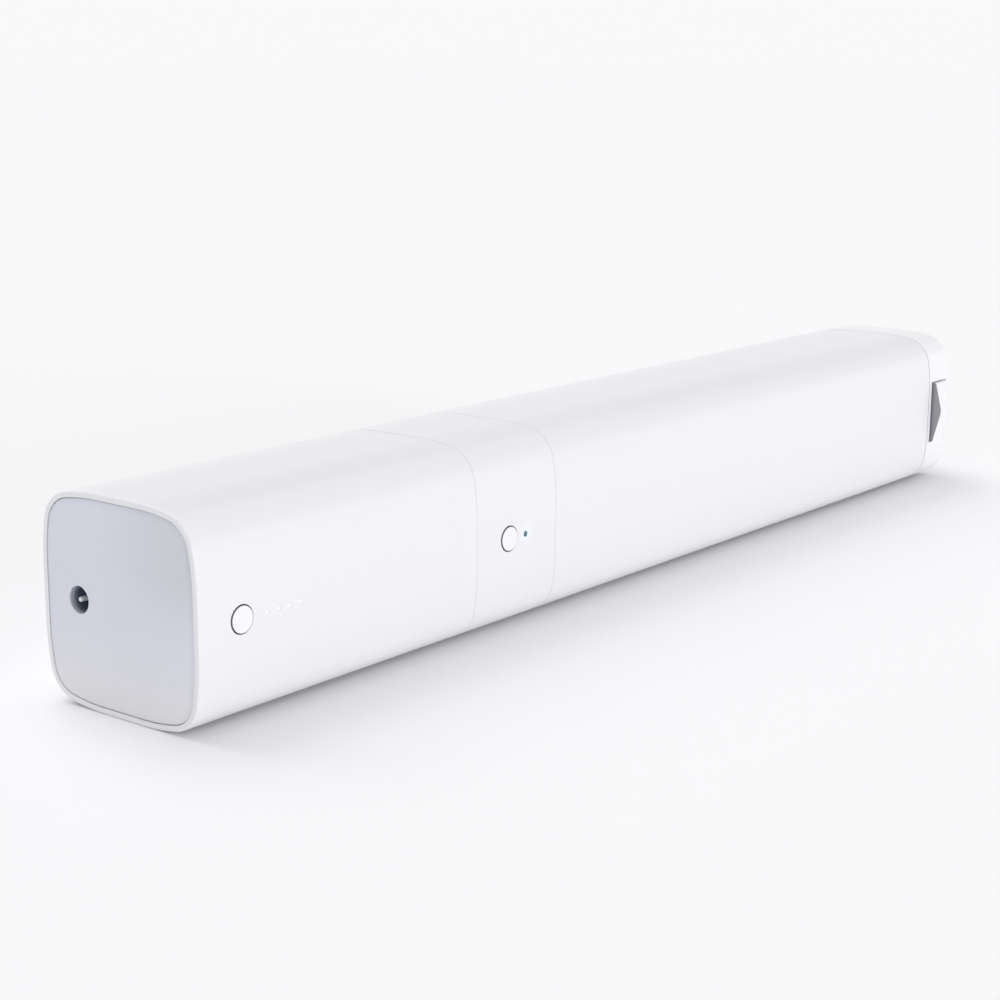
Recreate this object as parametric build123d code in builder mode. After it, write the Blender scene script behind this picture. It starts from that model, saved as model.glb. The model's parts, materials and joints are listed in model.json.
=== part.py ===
from build123d import *
import math
import os

# Battery drive motor of a curtain track, lying on its side with its buttons to the front.
# X runs along the body from the battery end to the drive hub, -Y is the side with the buttons, Z is up.
# The origin is on the resting surface, under the middle of the overall length. All sizes are in mm.

# Housing section, the same soft square from end to end
section_side = 60.0
side_flat = 16.0
blend_radius = 65.0
corner_radius = 10.5
shell_wall = 2.0
sleeve_wall = 2.0
seam_chamfer = 0.25
end_rounding = 0.6

# Lengths along the axis
band_length = 38.5
main_length = 254.5
head_length = 17.0
skirt_length = 8.0
spigot_length = 10.0
register_length = 4.0
hub_length = 8.0
hub_gap = 0.4

# Clearances
slide_clearance = 0.2
seat_clearance = 0.15
running_clearance = 0.04
part_gap = 0.4
cut_margin = 1.0
root_depth = 0.5

# Screws
screw_radius = 1.5
screw_head_radius = 2.6
screw_head_height = 2.2
pilot_clearance = 0.03
through_clearance = 0.2
boss_radius = 4.2
boss_length = 13.0
boss_merge = 0.4
screw_tip_room = 1.5
band_screw_setback = 3.0

# Battery end: panel, charging jack and its board
panel_thickness = 2.0
panel_recess = 0.2
panel_gap = 0.2
panel_rebate = 0.3
ledge_width = 1.6
ledge_depth = 2.0
jack_offset = 15.9
jack_hole_radius = 3.8
jack_bore_radius = 3.2
jack_body_side = 11.0
jack_body_length = 12.0
jack_body_rounding = 0.8
jack_floor = 2.0
jack_pin_radius = 0.7
jack_pin_setback = 0.2
board_thickness = 1.6
board_corner = 1.5
charge_board_side = 40.0
charge_board_corner = 4.0

# Buttons, their switches and the indicator lights
button_row = -0.35
button_radius = 3.6
button_gap = 0.45
button_proud = 0.4
button_edge = 0.3
button_flange_width = 1.0
button_flange_thickness = 0.6
button_travel = 0.5
switch_free_play = 0.05
switch_plunger_radius = 1.5
switch_plunger_height = 0.5
switch_body_side = 6.0
switch_body_height = 2.7
battery_button_station = 15.2
gauge_first_station = 24.4
gauge_pitch = 4.1
gauge_count = 4
gauge_light_radius = 0.6
light_clearance = 0.05
gauge_board_height = 26.0
gauge_board_margin = 6.5
gauge_post_inset = 2.5
gauge_led_length = 1.6
gauge_led_width = 1.0
gauge_led_height = 0.8
light_bar_width = 2.4
indicator_half_spacing = 4.0
status_light_radius = 0.9
status_light_proud = 0.1
status_light_edge = 0.3
status_base_side = 2.8
status_base_height = 1.2

# Battery cells and their carriers
cell_radius = 9.2
cell_edge = 0.6
cell_length = 65.2
cell_pitch = 19.0
cell_room = 8.2
cradle_length = 6.0
cradle_side = 39.6
cradle_corner = 9.9
cradle_wing = 24.0
cell_clearance = 0.1
link_thickness = 0.3
link_width = 9.0
link_tab_length = 2.0

# Pack bulkhead and the contacts between the pack and the motor unit
bulkhead_thickness = 4.0
bulkhead_post_radius = 2.0
bulkhead_post_length = 3.5
bulkhead_post_spacing = 30.0
contact_count = 4
contact_pitch = 8.0
blade_thickness = 0.8
blade_width = 4.0
blade_reach = 5.5
blade_tip_rounding = 1.0
blade_clearance = 0.3
socket_wall = 0.8
blade_solder_length = 6.0
clip_thickness = 0.4
clip_width = 6.0
clip_bump_height = 1.0
clip_recess = 0.85
clip_length = 7.4
clip_setback = 1.0
notch_length = 3.2

# Control electronics
band_floor_thickness = 3.0
main_board_length = 87.0
main_board_height = 32.0
board_inset = 7.5
board_post_inset = 4.0
board_post_radius = 2.0
board_post_spacing_x = 31.0
board_post_spacing_z = 24.0
radio_length = 24.0
radio_width = 18.0
radio_height = 2.8
radio_end_gap = 14.0
can_edge = 0.8
capacitor_radius = 5.0
capacitor_height = 16.0
capacitor_pitch = 13.0
capacitor_end_gap = 39.0
capacitor_offset = 7.0
capacitor_count = 3
chip_side = 7.0
chip_height = 1.5
chip_pitch = 12.0
chip_start = 18.0
chip_offset = 8.0
chip_count = 4

# Motor
motor_radius = 20.0
can_wall = 1.5
can_length = 66.0
can_front = 3.0
end_bell_thickness = 4.0
end_bell_edge = 1.0
rotor_shaft_radius = 2.0
shaft_tail = 1.5
stator_length = 40.0
yoke_width = 3.0
pole_count = 6
pole_width = 5.0
coil_thickness = 1.8
coil_overhang = 2.0
coil_pole_gap = 1.2
coil_yoke_gap = 0.9
rotor_magnet_radius = 9.0
air_gap = 0.6
hall_board_radius = 14.0
hall_board_bore = 6.0
lead_radius = 0.65
lead_pitch = 5.0
lead_bend_radius = 12.0
lead_end_offset = 11.0
lead_solder_length = 6.0

# Gearbox: two planetary stages in one toothed housing
gear_module = 0.6
sun_teeth = 12
planet_teeth = 18
ring_teeth = 48
planet_count = 3
addendum_factor = 0.9
dedendum_factor = 1.15
tooth_backlash = 0.12
pressure_angle = 20.0
gear_width = 7.0
gear_end_gap = 0.4
carrier_thickness = 3.0
carrier_radius = 13.0
planet_pin_radius = 1.5
input_flange = 3.0
gearbox_radius = 21.0
cover_thickness = 8.0
isolator_thickness = 1.5
mount_thickness = 4.0
mount_bore_radius = 9.0
gearbox_screw_circle = 18.0
gearbox_screw_grip = 10.0
output_shaft_radius = 4.0
shaft_flat_depth = 0.8
bush_radius = 7.0

# Rear support of the motor
support_inset = 9.0
support_length = 12.0
sleeve_rubber = 2.0

# Head cap, register spigot and drive hub
end_plate_thickness = 3.0
head_tube_radius = 11.0
head_tube_length = 13.0
register_radius = 18.0
register_chamfer = 0.5
hub_flange_radius = 11.0
hub_flange_thickness = 1.6
hub_root_radius = 7.5
hub_spline_radius = 9.8
hub_spline_width = 4.0
hub_spline_count = 6
hub_screw_length = 9.0
hub_nose_length = 3.0
hub_chamfer = 0.4

# Latch lever on the head
latch_centre_height = 29.2
latch_half_height = 12.1
latch_gap = 0.4
pad_length = 9.2
pad_front_setback = 5.0
pad_ridge_height = 0.8
pad_ridge_proud = 4.3
pad_ridge_radius = 6.0
pad_top_proud = 1.4
pad_bottom_proud = 1.0
pad_edge = 0.4
lever_plate_thickness = 3.4
lever_plate_sink = 0.2
lever_front_setback = 2.9
lever_swing_room = 0.9
pivot_setback = 6.5
pivot_depth = 3.0
knuckle_radius = 2.8
latch_pin_radius = 1.25
latch_pin_overlap = 4.0
ear_depth = 2.4
ear_length = 7.0
ear_end_wall = 1.0
arm_thickness = 3.0
arm_depth = 4.4
arm_half_height = 9.0
arm_root = 1.5
arm_reach = 3.9
arm_swing_room = 1.4
hook_length = 1.9
hook_height = 1.7
leaf_thickness = 0.3
leaf_half_width = 4.0
leaf_span = 4.4
leaf_setback = 0.2
leaf_play = 0.1
leaf_seat_depth = 8.4
leaf_seat_thickness = 1.5

# Stations along X, worked out from the lengths
half_side = section_side / 2
axis_height = half_side
cells_start = panel_recess + panel_thickness + jack_body_length + board_thickness + cell_room
cells_end = cells_start + cell_length
boards_end = cells_end + link_thickness + link_tab_length + board_thickness
pack_length = boards_end + bulkhead_post_length + bulkhead_thickness + part_gap + spigot_length
body_length = pack_length + band_length + main_length + head_length
overall_length = body_length + register_length + hub_gap + hub_length
x_end = -overall_length / 2
x_pack = x_end + pack_length
x_band = x_pack + band_length
x_main = x_band + main_length
x_head = x_main + head_length
x_register = x_head + register_length
x_hub = x_register + hub_gap
x_tip = x_hub + hub_length

# Centre and angles of the arcs that turn each corner of the section, tangent to one another
blend_drop = half_side - blend_radius
quadratic_b = 2 * (-side_flat / 2 - blend_drop)
quadratic_c = (side_flat / 2) ** 2 + blend_drop ** 2 - (blend_radius - corner_radius) ** 2
corner_centre = (-quadratic_b + math.sqrt(quadratic_b ** 2 - 8 * quadratic_c)) / 4
blend_angle = math.degrees(math.atan2(corner_centre - side_flat / 2, corner_centre - blend_drop))
corner_reach = corner_centre * math.sqrt(2) + corner_radius
boss_offset = (corner_reach - shell_wall + boss_merge - boss_radius) / math.sqrt(2)
sleeve_inset = shell_wall + sleeve_wall
fitted_inset = shell_wall + slide_clearance


def across(x):
    """A plane square to the axis at a station, drawn in y and in height from the axis."""
    return Plane(origin=(x, 0, axis_height), x_dir=(0, 1, 0), z_dir=(1, 0, 0))


def facing_front(y):
    """A plane seen from the front, drawn in x and in height from the axis."""
    return Plane(origin=(0, y, axis_height), x_dir=(1, 0, 0), z_dir=(0, -1, 0))


def seen_from_above(z):
    """A plane drawn in x and y at a height from the axis."""
    return Plane.XY.offset(axis_height + z)


def soft_square(inset=0.0):
    """The housing's outline, drawn inset from its outside."""
    with BuildSketch(mode=Mode.PRIVATE) as outline:
        with BuildLine():
            for turn in (0, 90, 180, 270):
                flat_start = Vector(-side_flat / 2, half_side - inset).rotate(Axis.Z, turn)
                flat_end = Vector(side_flat / 2, half_side - inset).rotate(Axis.Z, turn)
                first_centre = Vector(side_flat / 2, blend_drop).rotate(Axis.Z, turn)
                corner = Vector(corner_centre, corner_centre).rotate(Axis.Z, turn)
                last_centre = Vector(blend_drop, side_flat / 2).rotate(Axis.Z, turn)
                Line(flat_start, flat_end)
                CenterArc(first_centre, blend_radius - inset, turn + 90 - blend_angle, blend_angle)
                CenterArc(corner, corner_radius - inset, turn + blend_angle, 90 - 2 * blend_angle)
                CenterArc(last_centre, blend_radius - inset, turn, blend_angle)
        make_face()
    return outline.sketch


def run(profile, x_from, x_to, mode=Mode.ADD):
    """A profile across the axis, run from one station to another."""
    with BuildSketch(across(x_from)) as placed:
        add(profile)
    extrude(placed.sketch, amount=x_to - x_from, mode=mode)


def shell(x_from, x_to, outer_inset, inner_inset):
    """A length of tube in the housing's section."""
    run(soft_square(outer_inset), x_from, x_to)
    run(soft_square(inner_inset), x_from, x_to, mode=Mode.SUBTRACT)


def rod(x_from, x_to, radius, y=0.0, z=0.0, mode=Mode.ADD):
    """A round rod or bore along X."""
    with BuildSketch(across(x_from)) as placed:
        with Locations((y, z)):
            Circle(radius)
    extrude(placed.sketch, amount=x_to - x_from, mode=mode)


def block(x_span, y_span, z_span, mode=Mode.ADD):
    """A block between two values on each axis, its heights measured from the body's axis."""
    sizes = [span[1] - span[0] for span in (x_span, y_span, z_span)]
    corner = (x_span[0], y_span[0], z_span[0] + axis_height)
    with Locations(corner):
        Box(*sizes, align=(Align.MIN, Align.MIN, Align.MIN), mode=mode)


def stud(x, z, radius, y_back, y_front, mode=Mode.ADD):
    """A round stud or hole along Y, from its back towards the front."""
    with BuildSketch(facing_front(y_back)) as placed:
        with Locations((x, z)):
            Circle(radius)
    extrude(placed.sketch, amount=y_back - y_front, mode=mode)


def corners(offset):
    """The four corner places of something set square about the axis."""
    return [(side_y * offset, side_z * offset) for side_y in (-1, 1) for side_z in (-1, 1)]


def corner_bosses(x_from, x_to, inset):
    """The four screw bosses, kept inside the housing's outline at an inset."""
    with BuildSketch(across(x_from)) as bosses:
        with Locations(*corners(boss_offset)):
            Circle(boss_radius)
        add(soft_square(inset), mode=Mode.INTERSECT)
    extrude(bosses.sketch, amount=x_to - x_from)


def finish(piece, name):
    """Labels a finished piece and writes its file."""
    piece.part.label = name
    export_step(piece.part, f"parts/{name}.step")


os.makedirs("parts", exist_ok=True)

# Places of the buttons, boards and lights, in from the front wall
x_battery_button = x_end + battery_button_station
x_setup_button = (x_pack + x_band) / 2 - indicator_half_spacing
x_status_light = (x_pack + x_band) / 2 + indicator_half_spacing
gauge_stations = [x_end + gauge_first_station + gauge_pitch * n for n in range(gauge_count)]
pack_wall_inside = -half_side + shell_wall
band_wall_inside = -half_side + sleeve_inset
switch_stack = (
    switch_free_play
    + button_flange_thickness
    + button_travel
    + switch_free_play
    + switch_plunger_height
    + switch_body_height
)
gauge_board_front = pack_wall_inside + switch_stack
main_board_front = band_wall_inside + switch_stack
main_board_back = main_board_front + board_thickness
button_hole_radius = button_radius + button_gap

# Stations of the pack's inner pieces
x_panel_front = x_end + panel_recess
x_panel_back = x_panel_front + panel_thickness
x_jack_back = x_panel_back + jack_body_length
x_cells = x_end + cells_start
x_cells_end = x_cells + cell_length
x_protection = x_cells_end + link_thickness + link_tab_length
x_protection_end = x_protection + board_thickness
x_spigot = x_pack - spigot_length
x_bulkhead_end = x_spigot - part_gap
x_bulkhead = x_bulkhead_end - bulkhead_thickness
gauge_board_x = (x_battery_button - gauge_board_margin, gauge_stations[-1] + gauge_board_margin)
gauge_board_z = (-gauge_board_height / 2, gauge_board_height / 2)
contact_heights = [contact_pitch * (n - (contact_count - 1) / 2) for n in range(contact_count)]
blade_y = (main_board_back, main_board_back + blade_thickness)
x_band_floor_end = x_spigot + band_floor_thickness

# Clip recess in the spigot, and the notch in the pack's wall that it snaps into
clip_floor = half_side - fitted_inset - clip_recess
x_clip = x_spigot + clip_setback
x_clip_bump = x_clip + clip_length / 2
clip_bump_top = clip_floor + clip_thickness + clip_bump_height

with BuildPart() as battery_shell:
    shell(x_end, x_pack, 0, shell_wall)
    chamfer(battery_shell.faces().sort_by(Axis.X)[-1].outer_wire().edges(), seam_chamfer)
    fillet(battery_shell.faces().sort_by(Axis.X)[0].outer_wire().edges(), end_rounding)
    run(soft_square(shell_wall - panel_rebate), x_end, x_panel_back, mode=Mode.SUBTRACT)
    shell(x_panel_back, x_panel_back + ledge_depth, shell_wall, shell_wall + ledge_width)
    corner_bosses(x_bulkhead - boss_length, x_bulkhead, shell_wall / 2)
    for y, z in corners(boss_offset):
        rod(x_bulkhead - boss_length, x_bulkhead, screw_radius + pilot_clearance, y, z, Mode.SUBTRACT)
    for x in gauge_board_x:
        inward = gauge_post_inset if x == gauge_board_x[0] else -gauge_post_inset
        for side in (-1, 1):
            post_z = side * (gauge_board_height / 2 - board_post_radius)
            stud(x + inward, post_z, board_post_radius, gauge_board_front, pack_wall_inside - root_depth)
    y_clear = -half_side - cut_margin
    stud(x_battery_button, button_row, button_hole_radius, pack_wall_inside, y_clear, Mode.SUBTRACT)
    light_hole = gauge_light_radius + light_clearance
    for x in gauge_stations:
        stud(x, button_row, light_hole, pack_wall_inside, y_clear, Mode.SUBTRACT)
    notch_floor = half_side - shell_wall - cut_margin
    for side in (-1, 1):
        notch = sorted((side * notch_floor, side * (clip_bump_top + slide_clearance)))
        half_notch = clip_width / 2 + part_gap
        notch_x = (x_clip_bump - notch_length / 2, x_clip_bump + notch_length / 2)
        block(notch_x, (-half_notch, half_notch), notch, Mode.SUBTRACT)
finish(battery_shell, "battery_shell")

with BuildPart() as end_panel:
    run(soft_square(shell_wall - panel_rebate + panel_gap), x_panel_front, x_panel_back)
    rod(x_panel_front, x_panel_back, jack_hole_radius, jack_offset, 0, Mode.SUBTRACT)
finish(end_panel, "end_panel")

with BuildPart() as charge_jack:
    half_body = jack_body_side / 2
    block(
        (x_panel_back, x_jack_back),
        (jack_offset - half_body, jack_offset + half_body),
        (-half_body, half_body),
    )
    rod(x_panel_back, x_jack_back - jack_floor, jack_bore_radius, jack_offset, 0, Mode.SUBTRACT)
    fillet(charge_jack.edges().filter_by(Axis.X), jack_body_rounding)
finish(charge_jack, "charge_jack")

with BuildPart() as jack_pin:
    rod(x_panel_front + jack_pin_setback, x_jack_back - jack_floor, jack_pin_radius, jack_offset, 0)
    fillet(jack_pin.edges().sort_by(Axis.X)[0], jack_pin_radius / 2)
finish(jack_pin, "jack_pin")

with BuildPart() as charge_board:
    with BuildSketch(across(x_jack_back)):
        RectangleRounded(charge_board_side, charge_board_side, charge_board_corner)
    extrude(amount=board_thickness)
finish(charge_board, "charge_board")

with BuildPart() as gauge_board:
    block(gauge_board_x, (gauge_board_front, gauge_board_front + board_thickness), gauge_board_z)
    fillet(gauge_board.edges().filter_by(Axis.Y), board_corner)
finish(gauge_board, "gauge_board")


def switch(x, board_front):
    """A dome switch standing on the front of a board."""
    half_body = switch_body_side / 2
    cap = board_front - switch_body_height
    body_z = (button_row - half_body, button_row + half_body)
    block((x - half_body, x + half_body), (cap, board_front), body_z)
    stud(x, button_row, switch_plunger_radius, cap, cap - switch_plunger_height)


def push_button(x, wall_inside):
    """A round button whose flange lies behind the wall."""
    flange_front = wall_inside + switch_free_play
    flange_back = flange_front + button_flange_thickness
    stud(x, button_row, button_radius, flange_back, -half_side - button_proud)
    fillet(faces().sort_by(Axis.Y)[0].edges(), button_edge)
    stud(x, button_row, button_hole_radius + button_flange_width, flange_back, flange_front)


with BuildPart() as gauge_switch:
    switch(x_battery_button, gauge_board_front)
finish(gauge_switch, "gauge_switch")

with BuildPart() as setup_switch:
    switch(x_setup_button, main_board_front)
finish(setup_switch, "setup_switch")

with BuildPart() as battery_button:
    push_button(x_battery_button, pack_wall_inside)
finish(battery_button, "battery_button")

with BuildPart() as setup_button:
    push_button(x_setup_button, band_wall_inside)
finish(setup_button, "setup_button")

with BuildPart() as gauge_leds:
    led_y = (gauge_board_front - gauge_led_height, gauge_board_front)
    led_z = (button_row - gauge_led_width / 2, button_row + gauge_led_width / 2)
    for x in gauge_stations:
        led_x = (x - gauge_led_length / 2, x + gauge_led_length / 2)
        block(led_x, led_y, led_z)
finish(gauge_leds, "gauge_leds")

with BuildPart() as gauge_light_pipes:
    pipe_back = gauge_board_front - gauge_led_height
    bar_front = pack_wall_inside + switch_free_play
    half_bar = light_bar_width / 2
    bar_x = (gauge_stations[0] - half_bar, gauge_stations[-1] + half_bar)
    block(bar_x, (bar_front, pipe_back), (button_row - half_bar, button_row + half_bar))
    for x in gauge_stations:
        stud(x, button_row, gauge_light_radius, bar_front, -half_side)
finish(gauge_light_pipes, "gauge_light_pipes")

with BuildPart() as status_light:
    half_base = status_base_side / 2
    base_front = main_board_front - status_base_height
    base_x = (x_status_light - half_base, x_status_light + half_base)
    block(base_x, (base_front, main_board_front), (button_row - half_base, button_row + half_base))
    stud(x_status_light, button_row, status_light_radius, base_front, -half_side - status_light_proud)
    fillet(status_light.faces().sort_by(Axis.Y)[0].edges(), status_light_edge)
finish(status_light, "status_light")

# Battery cells, two by two, with their cradles and links
cell_places = corners(cell_pitch / 2)
wing_reach = half_side - shell_wall - slide_clearance

with BuildPart() as battery_cells:
    for y, z in cell_places:
        rod(x_cells, x_cells_end, cell_radius, y, z)
    fillet(battery_cells.edges().filter_by(GeomType.CIRCLE), cell_edge)
finish(battery_cells, "battery_cells")

with BuildPart() as cell_cradles:
    for x_cradle in (x_cells, x_cells_end - cradle_length):
        with BuildSketch(across(x_cradle)):
            RectangleRounded(cradle_side, cradle_side, cradle_corner)
            Rectangle(cradle_wing, 2 * wing_reach)
            Rectangle(wing_reach, cradle_wing, align=(Align.MIN, Align.CENTER))
            with Locations(*cell_places):
                Circle(cell_radius + cell_clearance, mode=Mode.SUBTRACT)
        extrude(amount=cradle_length)
finish(cell_cradles, "cell_cradles")

with BuildPart() as cell_links:
    link_half = (cell_pitch + link_width) / 2
    for side in (-1, 1):
        middle = side * cell_pitch / 2
        across_span = (middle - link_width / 2, middle + link_width / 2)
        block((x_cells - link_thickness, x_cells), (-link_half, link_half), across_span)
        block((x_cells_end, x_cells_end + link_thickness), across_span, (-link_half, link_half))
        tab_span = (middle - link_thickness / 2, middle + link_thickness / 2)
        block((x_cells_end, x_protection), tab_span, (-link_width / 4, link_width / 4))
finish(cell_links, "cell_links")

with BuildPart() as protection_board:
    with BuildSketch(across(x_protection)):
        RectangleRounded(cradle_side, cradle_side, charge_board_corner)
        with Locations((blade_y[0], 0)):
            Rectangle(2 * blade_width, contact_pitch * contact_count)
    extrude(amount=board_thickness)
finish(protection_board, "protection_board")

# Sockets on the pack and blades on the motor unit, which meet through slots
blade_middle = sum(blade_y) / 2
slot_size = (blade_thickness + 2 * blade_clearance, blade_width + 2 * blade_clearance)
socket_size = (slot_size[0] + 2 * socket_wall, slot_size[1] + 2 * socket_wall)
x_blade_tip = x_bulkhead_end - blade_reach

with BuildPart() as pack_sockets:
    for z in contact_heights:
        with BuildSketch(across(x_protection_end)):
            with Locations((blade_middle, z)):
                Rectangle(*socket_size)
        extrude(amount=x_bulkhead_end - x_protection_end)
        with BuildSketch(across(x_blade_tip - part_gap)):
            with Locations((blade_middle, z)):
                Rectangle(*slot_size)
        extrude(amount=x_bulkhead_end - x_blade_tip + part_gap, mode=Mode.SUBTRACT)
finish(pack_sockets, "pack_sockets")

with BuildPart() as pack_bulkhead:
    run(soft_square(shell_wall + slide_clearance), x_bulkhead, x_bulkhead_end)
    with BuildSketch(across(x_bulkhead)):
        for z in contact_heights:
            with Locations((blade_middle, z)):
                Rectangle(socket_size[0] + 2 * seat_clearance, socket_size[1] + 2 * seat_clearance)
    extrude(amount=bulkhead_thickness, mode=Mode.SUBTRACT)
    for y, z in corners(bulkhead_post_spacing / 2):
        rod(x_protection_end, x_bulkhead, bulkhead_post_radius, y, z)
    for y, z in corners(boss_offset):
        rod(x_bulkhead, x_bulkhead_end, screw_radius + through_clearance, y, z, Mode.SUBTRACT)
        x_recess = x_bulkhead_end - screw_head_height
        rod(x_recess, x_bulkhead_end, screw_head_radius + through_clearance, y, z, Mode.SUBTRACT)
finish(pack_bulkhead, "pack_bulkhead")


def screw(x_seat, x_point, y, z):
    """A pan head screw along the axis, its head standing at its seat away from its point."""
    away = 1 if x_point < x_seat else -1
    rod(*sorted((x_point, x_seat)), screw_radius, y, z)
    x_top = x_seat + away * screw_head_height
    rod(*sorted((x_seat, x_top)), screw_head_radius, y, z)
    with BuildSketch(across(x_top)) as recess:
        with Locations((y, z)):
            RegularPolygon(screw_head_radius / 2, 6)
    extrude(recess.sketch, amount=-away * screw_head_height / 2, mode=Mode.SUBTRACT)


with BuildPart() as bulkhead_screws:
    for y, z in corners(boss_offset):
        screw(x_bulkhead_end - screw_head_height, x_bulkhead - boss_length + screw_tip_room, y, z)
finish(bulkhead_screws, "bulkhead_screws")

# Control band: the ring with the setup button, a spigot into the pack and a skirt into the main shell
x_skirt_end = x_band + skirt_length
x_band_screw_seat = x_band - band_screw_setback
x_board_post = x_pack + board_inset + board_post_inset
board_posts_x = (x_board_post, x_board_post + board_post_spacing_x)

with BuildPart() as control_band:
    shell(x_pack, x_band, 0, sleeve_inset)
    seam_faces = control_band.faces().filter_by(Plane.YZ)
    chamfer(seam_faces.sort_by(Axis.X)[0].outer_wire().edges(), seam_chamfer)
    chamfer(control_band.faces().sort_by(Axis.X)[-1].outer_wire().edges(), seam_chamfer)
    shell(x_spigot, x_pack, fitted_inset, sleeve_inset)
    shell(x_band, x_skirt_end, fitted_inset, sleeve_inset)
    run(soft_square(fitted_inset), x_spigot, x_band_floor_end)
    corner_bosses(x_spigot, x_skirt_end, fitted_inset)
    for y, z in corners(boss_offset):
        rod(x_spigot, x_skirt_end, screw_radius + through_clearance, y, z, Mode.SUBTRACT)
        rod(x_spigot, x_band_screw_seat, screw_head_radius + through_clearance, y, z, Mode.SUBTRACT)
    for z in contact_heights:
        half_slot = blade_width / 2 + seat_clearance
        slot_y = (blade_y[0] - seat_clearance, blade_y[1] + seat_clearance)
        block((x_spigot, x_band_floor_end), slot_y, (z - half_slot, z + half_slot), Mode.SUBTRACT)
    for x in board_posts_x:
        for side in (-1, 1):
            post_z = side * board_post_spacing_z / 2
            stud(x, post_z, board_post_radius, main_board_front, band_wall_inside - root_depth)
    stud(x_setup_button, button_row, button_hole_radius, band_wall_inside, y_clear, Mode.SUBTRACT)
    light_hole = status_light_radius + light_clearance
    stud(x_status_light, button_row, light_hole, band_wall_inside, y_clear, Mode.SUBTRACT)
    for side in (-1, 1):
        recess = sorted((side * clip_floor, side * half_side))
        half_clip = clip_width / 2 + seat_clearance
        recess_x = (x_clip - seat_clearance, x_clip + clip_length + seat_clearance)
        block(recess_x, (-half_clip, half_clip), recess, Mode.SUBTRACT)
finish(control_band, "control_band")

with BuildPart() as pack_clips:
    for side in (-1, 1):
        strip = sorted((side * clip_floor, side * (clip_floor + clip_thickness)))
        block((x_clip, x_clip + clip_length), (-clip_width / 2, clip_width / 2), strip)
        with BuildSketch(Plane.XZ.offset(-clip_width / 2)) as bump:
            foot = axis_height + side * (clip_floor + clip_thickness)
            top = axis_height + side * clip_bump_top
            with BuildLine():
                Polyline(
                    (x_clip_bump - clip_bump_height, foot),
                    (x_clip_bump, top),
                    (x_clip_bump + clip_bump_height, foot),
                    close=True,
                )
            make_face()
        extrude(bump.sketch, amount=clip_width)
finish(pack_clips, "pack_clips")

x_main_board = x_pack + board_inset
x_main_board_end = x_main_board + main_board_length

with BuildPart() as contact_blades:
    for z in contact_heights:
        blade_z = (z - blade_width / 2, z + blade_width / 2)
        block((x_blade_tip, x_main_board + blade_solder_length), blade_y, blade_z)
    fillet(contact_blades.edges().filter_by(Axis.Y).group_by(Axis.X)[0], blade_tip_rounding)
finish(contact_blades, "contact_blades")

with BuildPart() as main_board:
    board_z = (-main_board_height / 2, main_board_height / 2)
    block((x_main_board, x_main_board_end), (main_board_front, main_board_back), board_z)
    fillet(main_board.edges().filter_by(Axis.Y), board_corner)
finish(main_board, "main_board")

with BuildPart() as radio_module:
    x_radio = x_main_board_end - radio_length - radio_end_gap
    radio_y = (main_board_front - radio_height, main_board_front)
    block((x_radio, x_radio + radio_length), radio_y, (-radio_width / 2, radio_width / 2))
    fillet(radio_module.edges().filter_by(Axis.Y), can_edge)
finish(radio_module, "radio_module")

with BuildPart() as board_capacitors:
    for n in range(capacitor_count):
        x = x_main_board_end - capacitor_end_gap - capacitor_pitch * n
        stud(x, capacitor_offset, capacitor_radius, main_board_back + capacitor_height, main_board_back)
    fillet(board_capacitors.faces().sort_by(Axis.Y)[-capacitor_count:].edges(), can_edge)
finish(board_capacitors, "board_capacitors")

with BuildPart() as board_chips:
    chip_y = (main_board_back, main_board_back + chip_height)
    chip_z = (-chip_offset - chip_side / 2, -chip_offset + chip_side / 2)
    for n in range(chip_count):
        x = x_main_board + chip_start + chip_pitch * n
        block((x, x + chip_side), chip_y, chip_z)
finish(board_chips, "board_chips")

# Stations of the drive, counted back from the head
x_cap_skirt = x_main - skirt_length
x_mount = x_cap_skirt - mount_thickness
x_cover_front = x_mount - isolator_thickness
x_cover = x_cover_front - cover_thickness
stage_gears = gear_width + gear_end_gap
stage_carrier = carrier_thickness + gear_end_gap
housing_length = input_flange + gear_end_gap + 2 * (stage_gears + stage_carrier)
x_housing = x_cover - housing_length
x_motor = x_housing - can_length
x_bell = x_motor - end_bell_thickness
x_first_gears = x_housing + input_flange + gear_end_gap
x_first_carrier = x_first_gears + stage_gears
x_second_gears = x_first_carrier + stage_carrier
x_output_carrier = x_second_gears + stage_gears
gearbox_screw_offset = gearbox_screw_circle / math.sqrt(2)

with BuildPart() as band_screws:
    for y, z in corners(boss_offset):
        screw(x_band_screw_seat, x_skirt_end + boss_length - screw_tip_room, y, z)
finish(band_screws, "band_screws")

with BuildPart() as main_shell:
    shell(x_band, x_main, 0, shell_wall)
    chamfer(main_shell.faces().sort_by(Axis.X)[0].outer_wire().edges(), seam_chamfer)
    chamfer(main_shell.faces().sort_by(Axis.X)[-1].outer_wire().edges(), seam_chamfer)
    for x_boss in (x_skirt_end, x_mount - boss_length):
        corner_bosses(x_boss, x_boss + boss_length, shell_wall / 2)
        for y, z in corners(boss_offset):
            rod(x_boss, x_boss + boss_length, screw_radius + pilot_clearance, y, z, Mode.SUBTRACT)
finish(main_shell, "main_shell")

with BuildPart() as motor_mount:
    run(soft_square(shell_wall + seat_clearance), x_mount, x_cap_skirt)
    rod(x_mount, x_cap_skirt, mount_bore_radius, mode=Mode.SUBTRACT)
    for y, z in (*corners(boss_offset), *corners(gearbox_screw_offset)):
        rod(x_mount, x_cap_skirt, screw_radius + through_clearance, y, z, Mode.SUBTRACT)
finish(motor_mount, "motor_mount")

x_support = x_motor + support_inset

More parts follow.
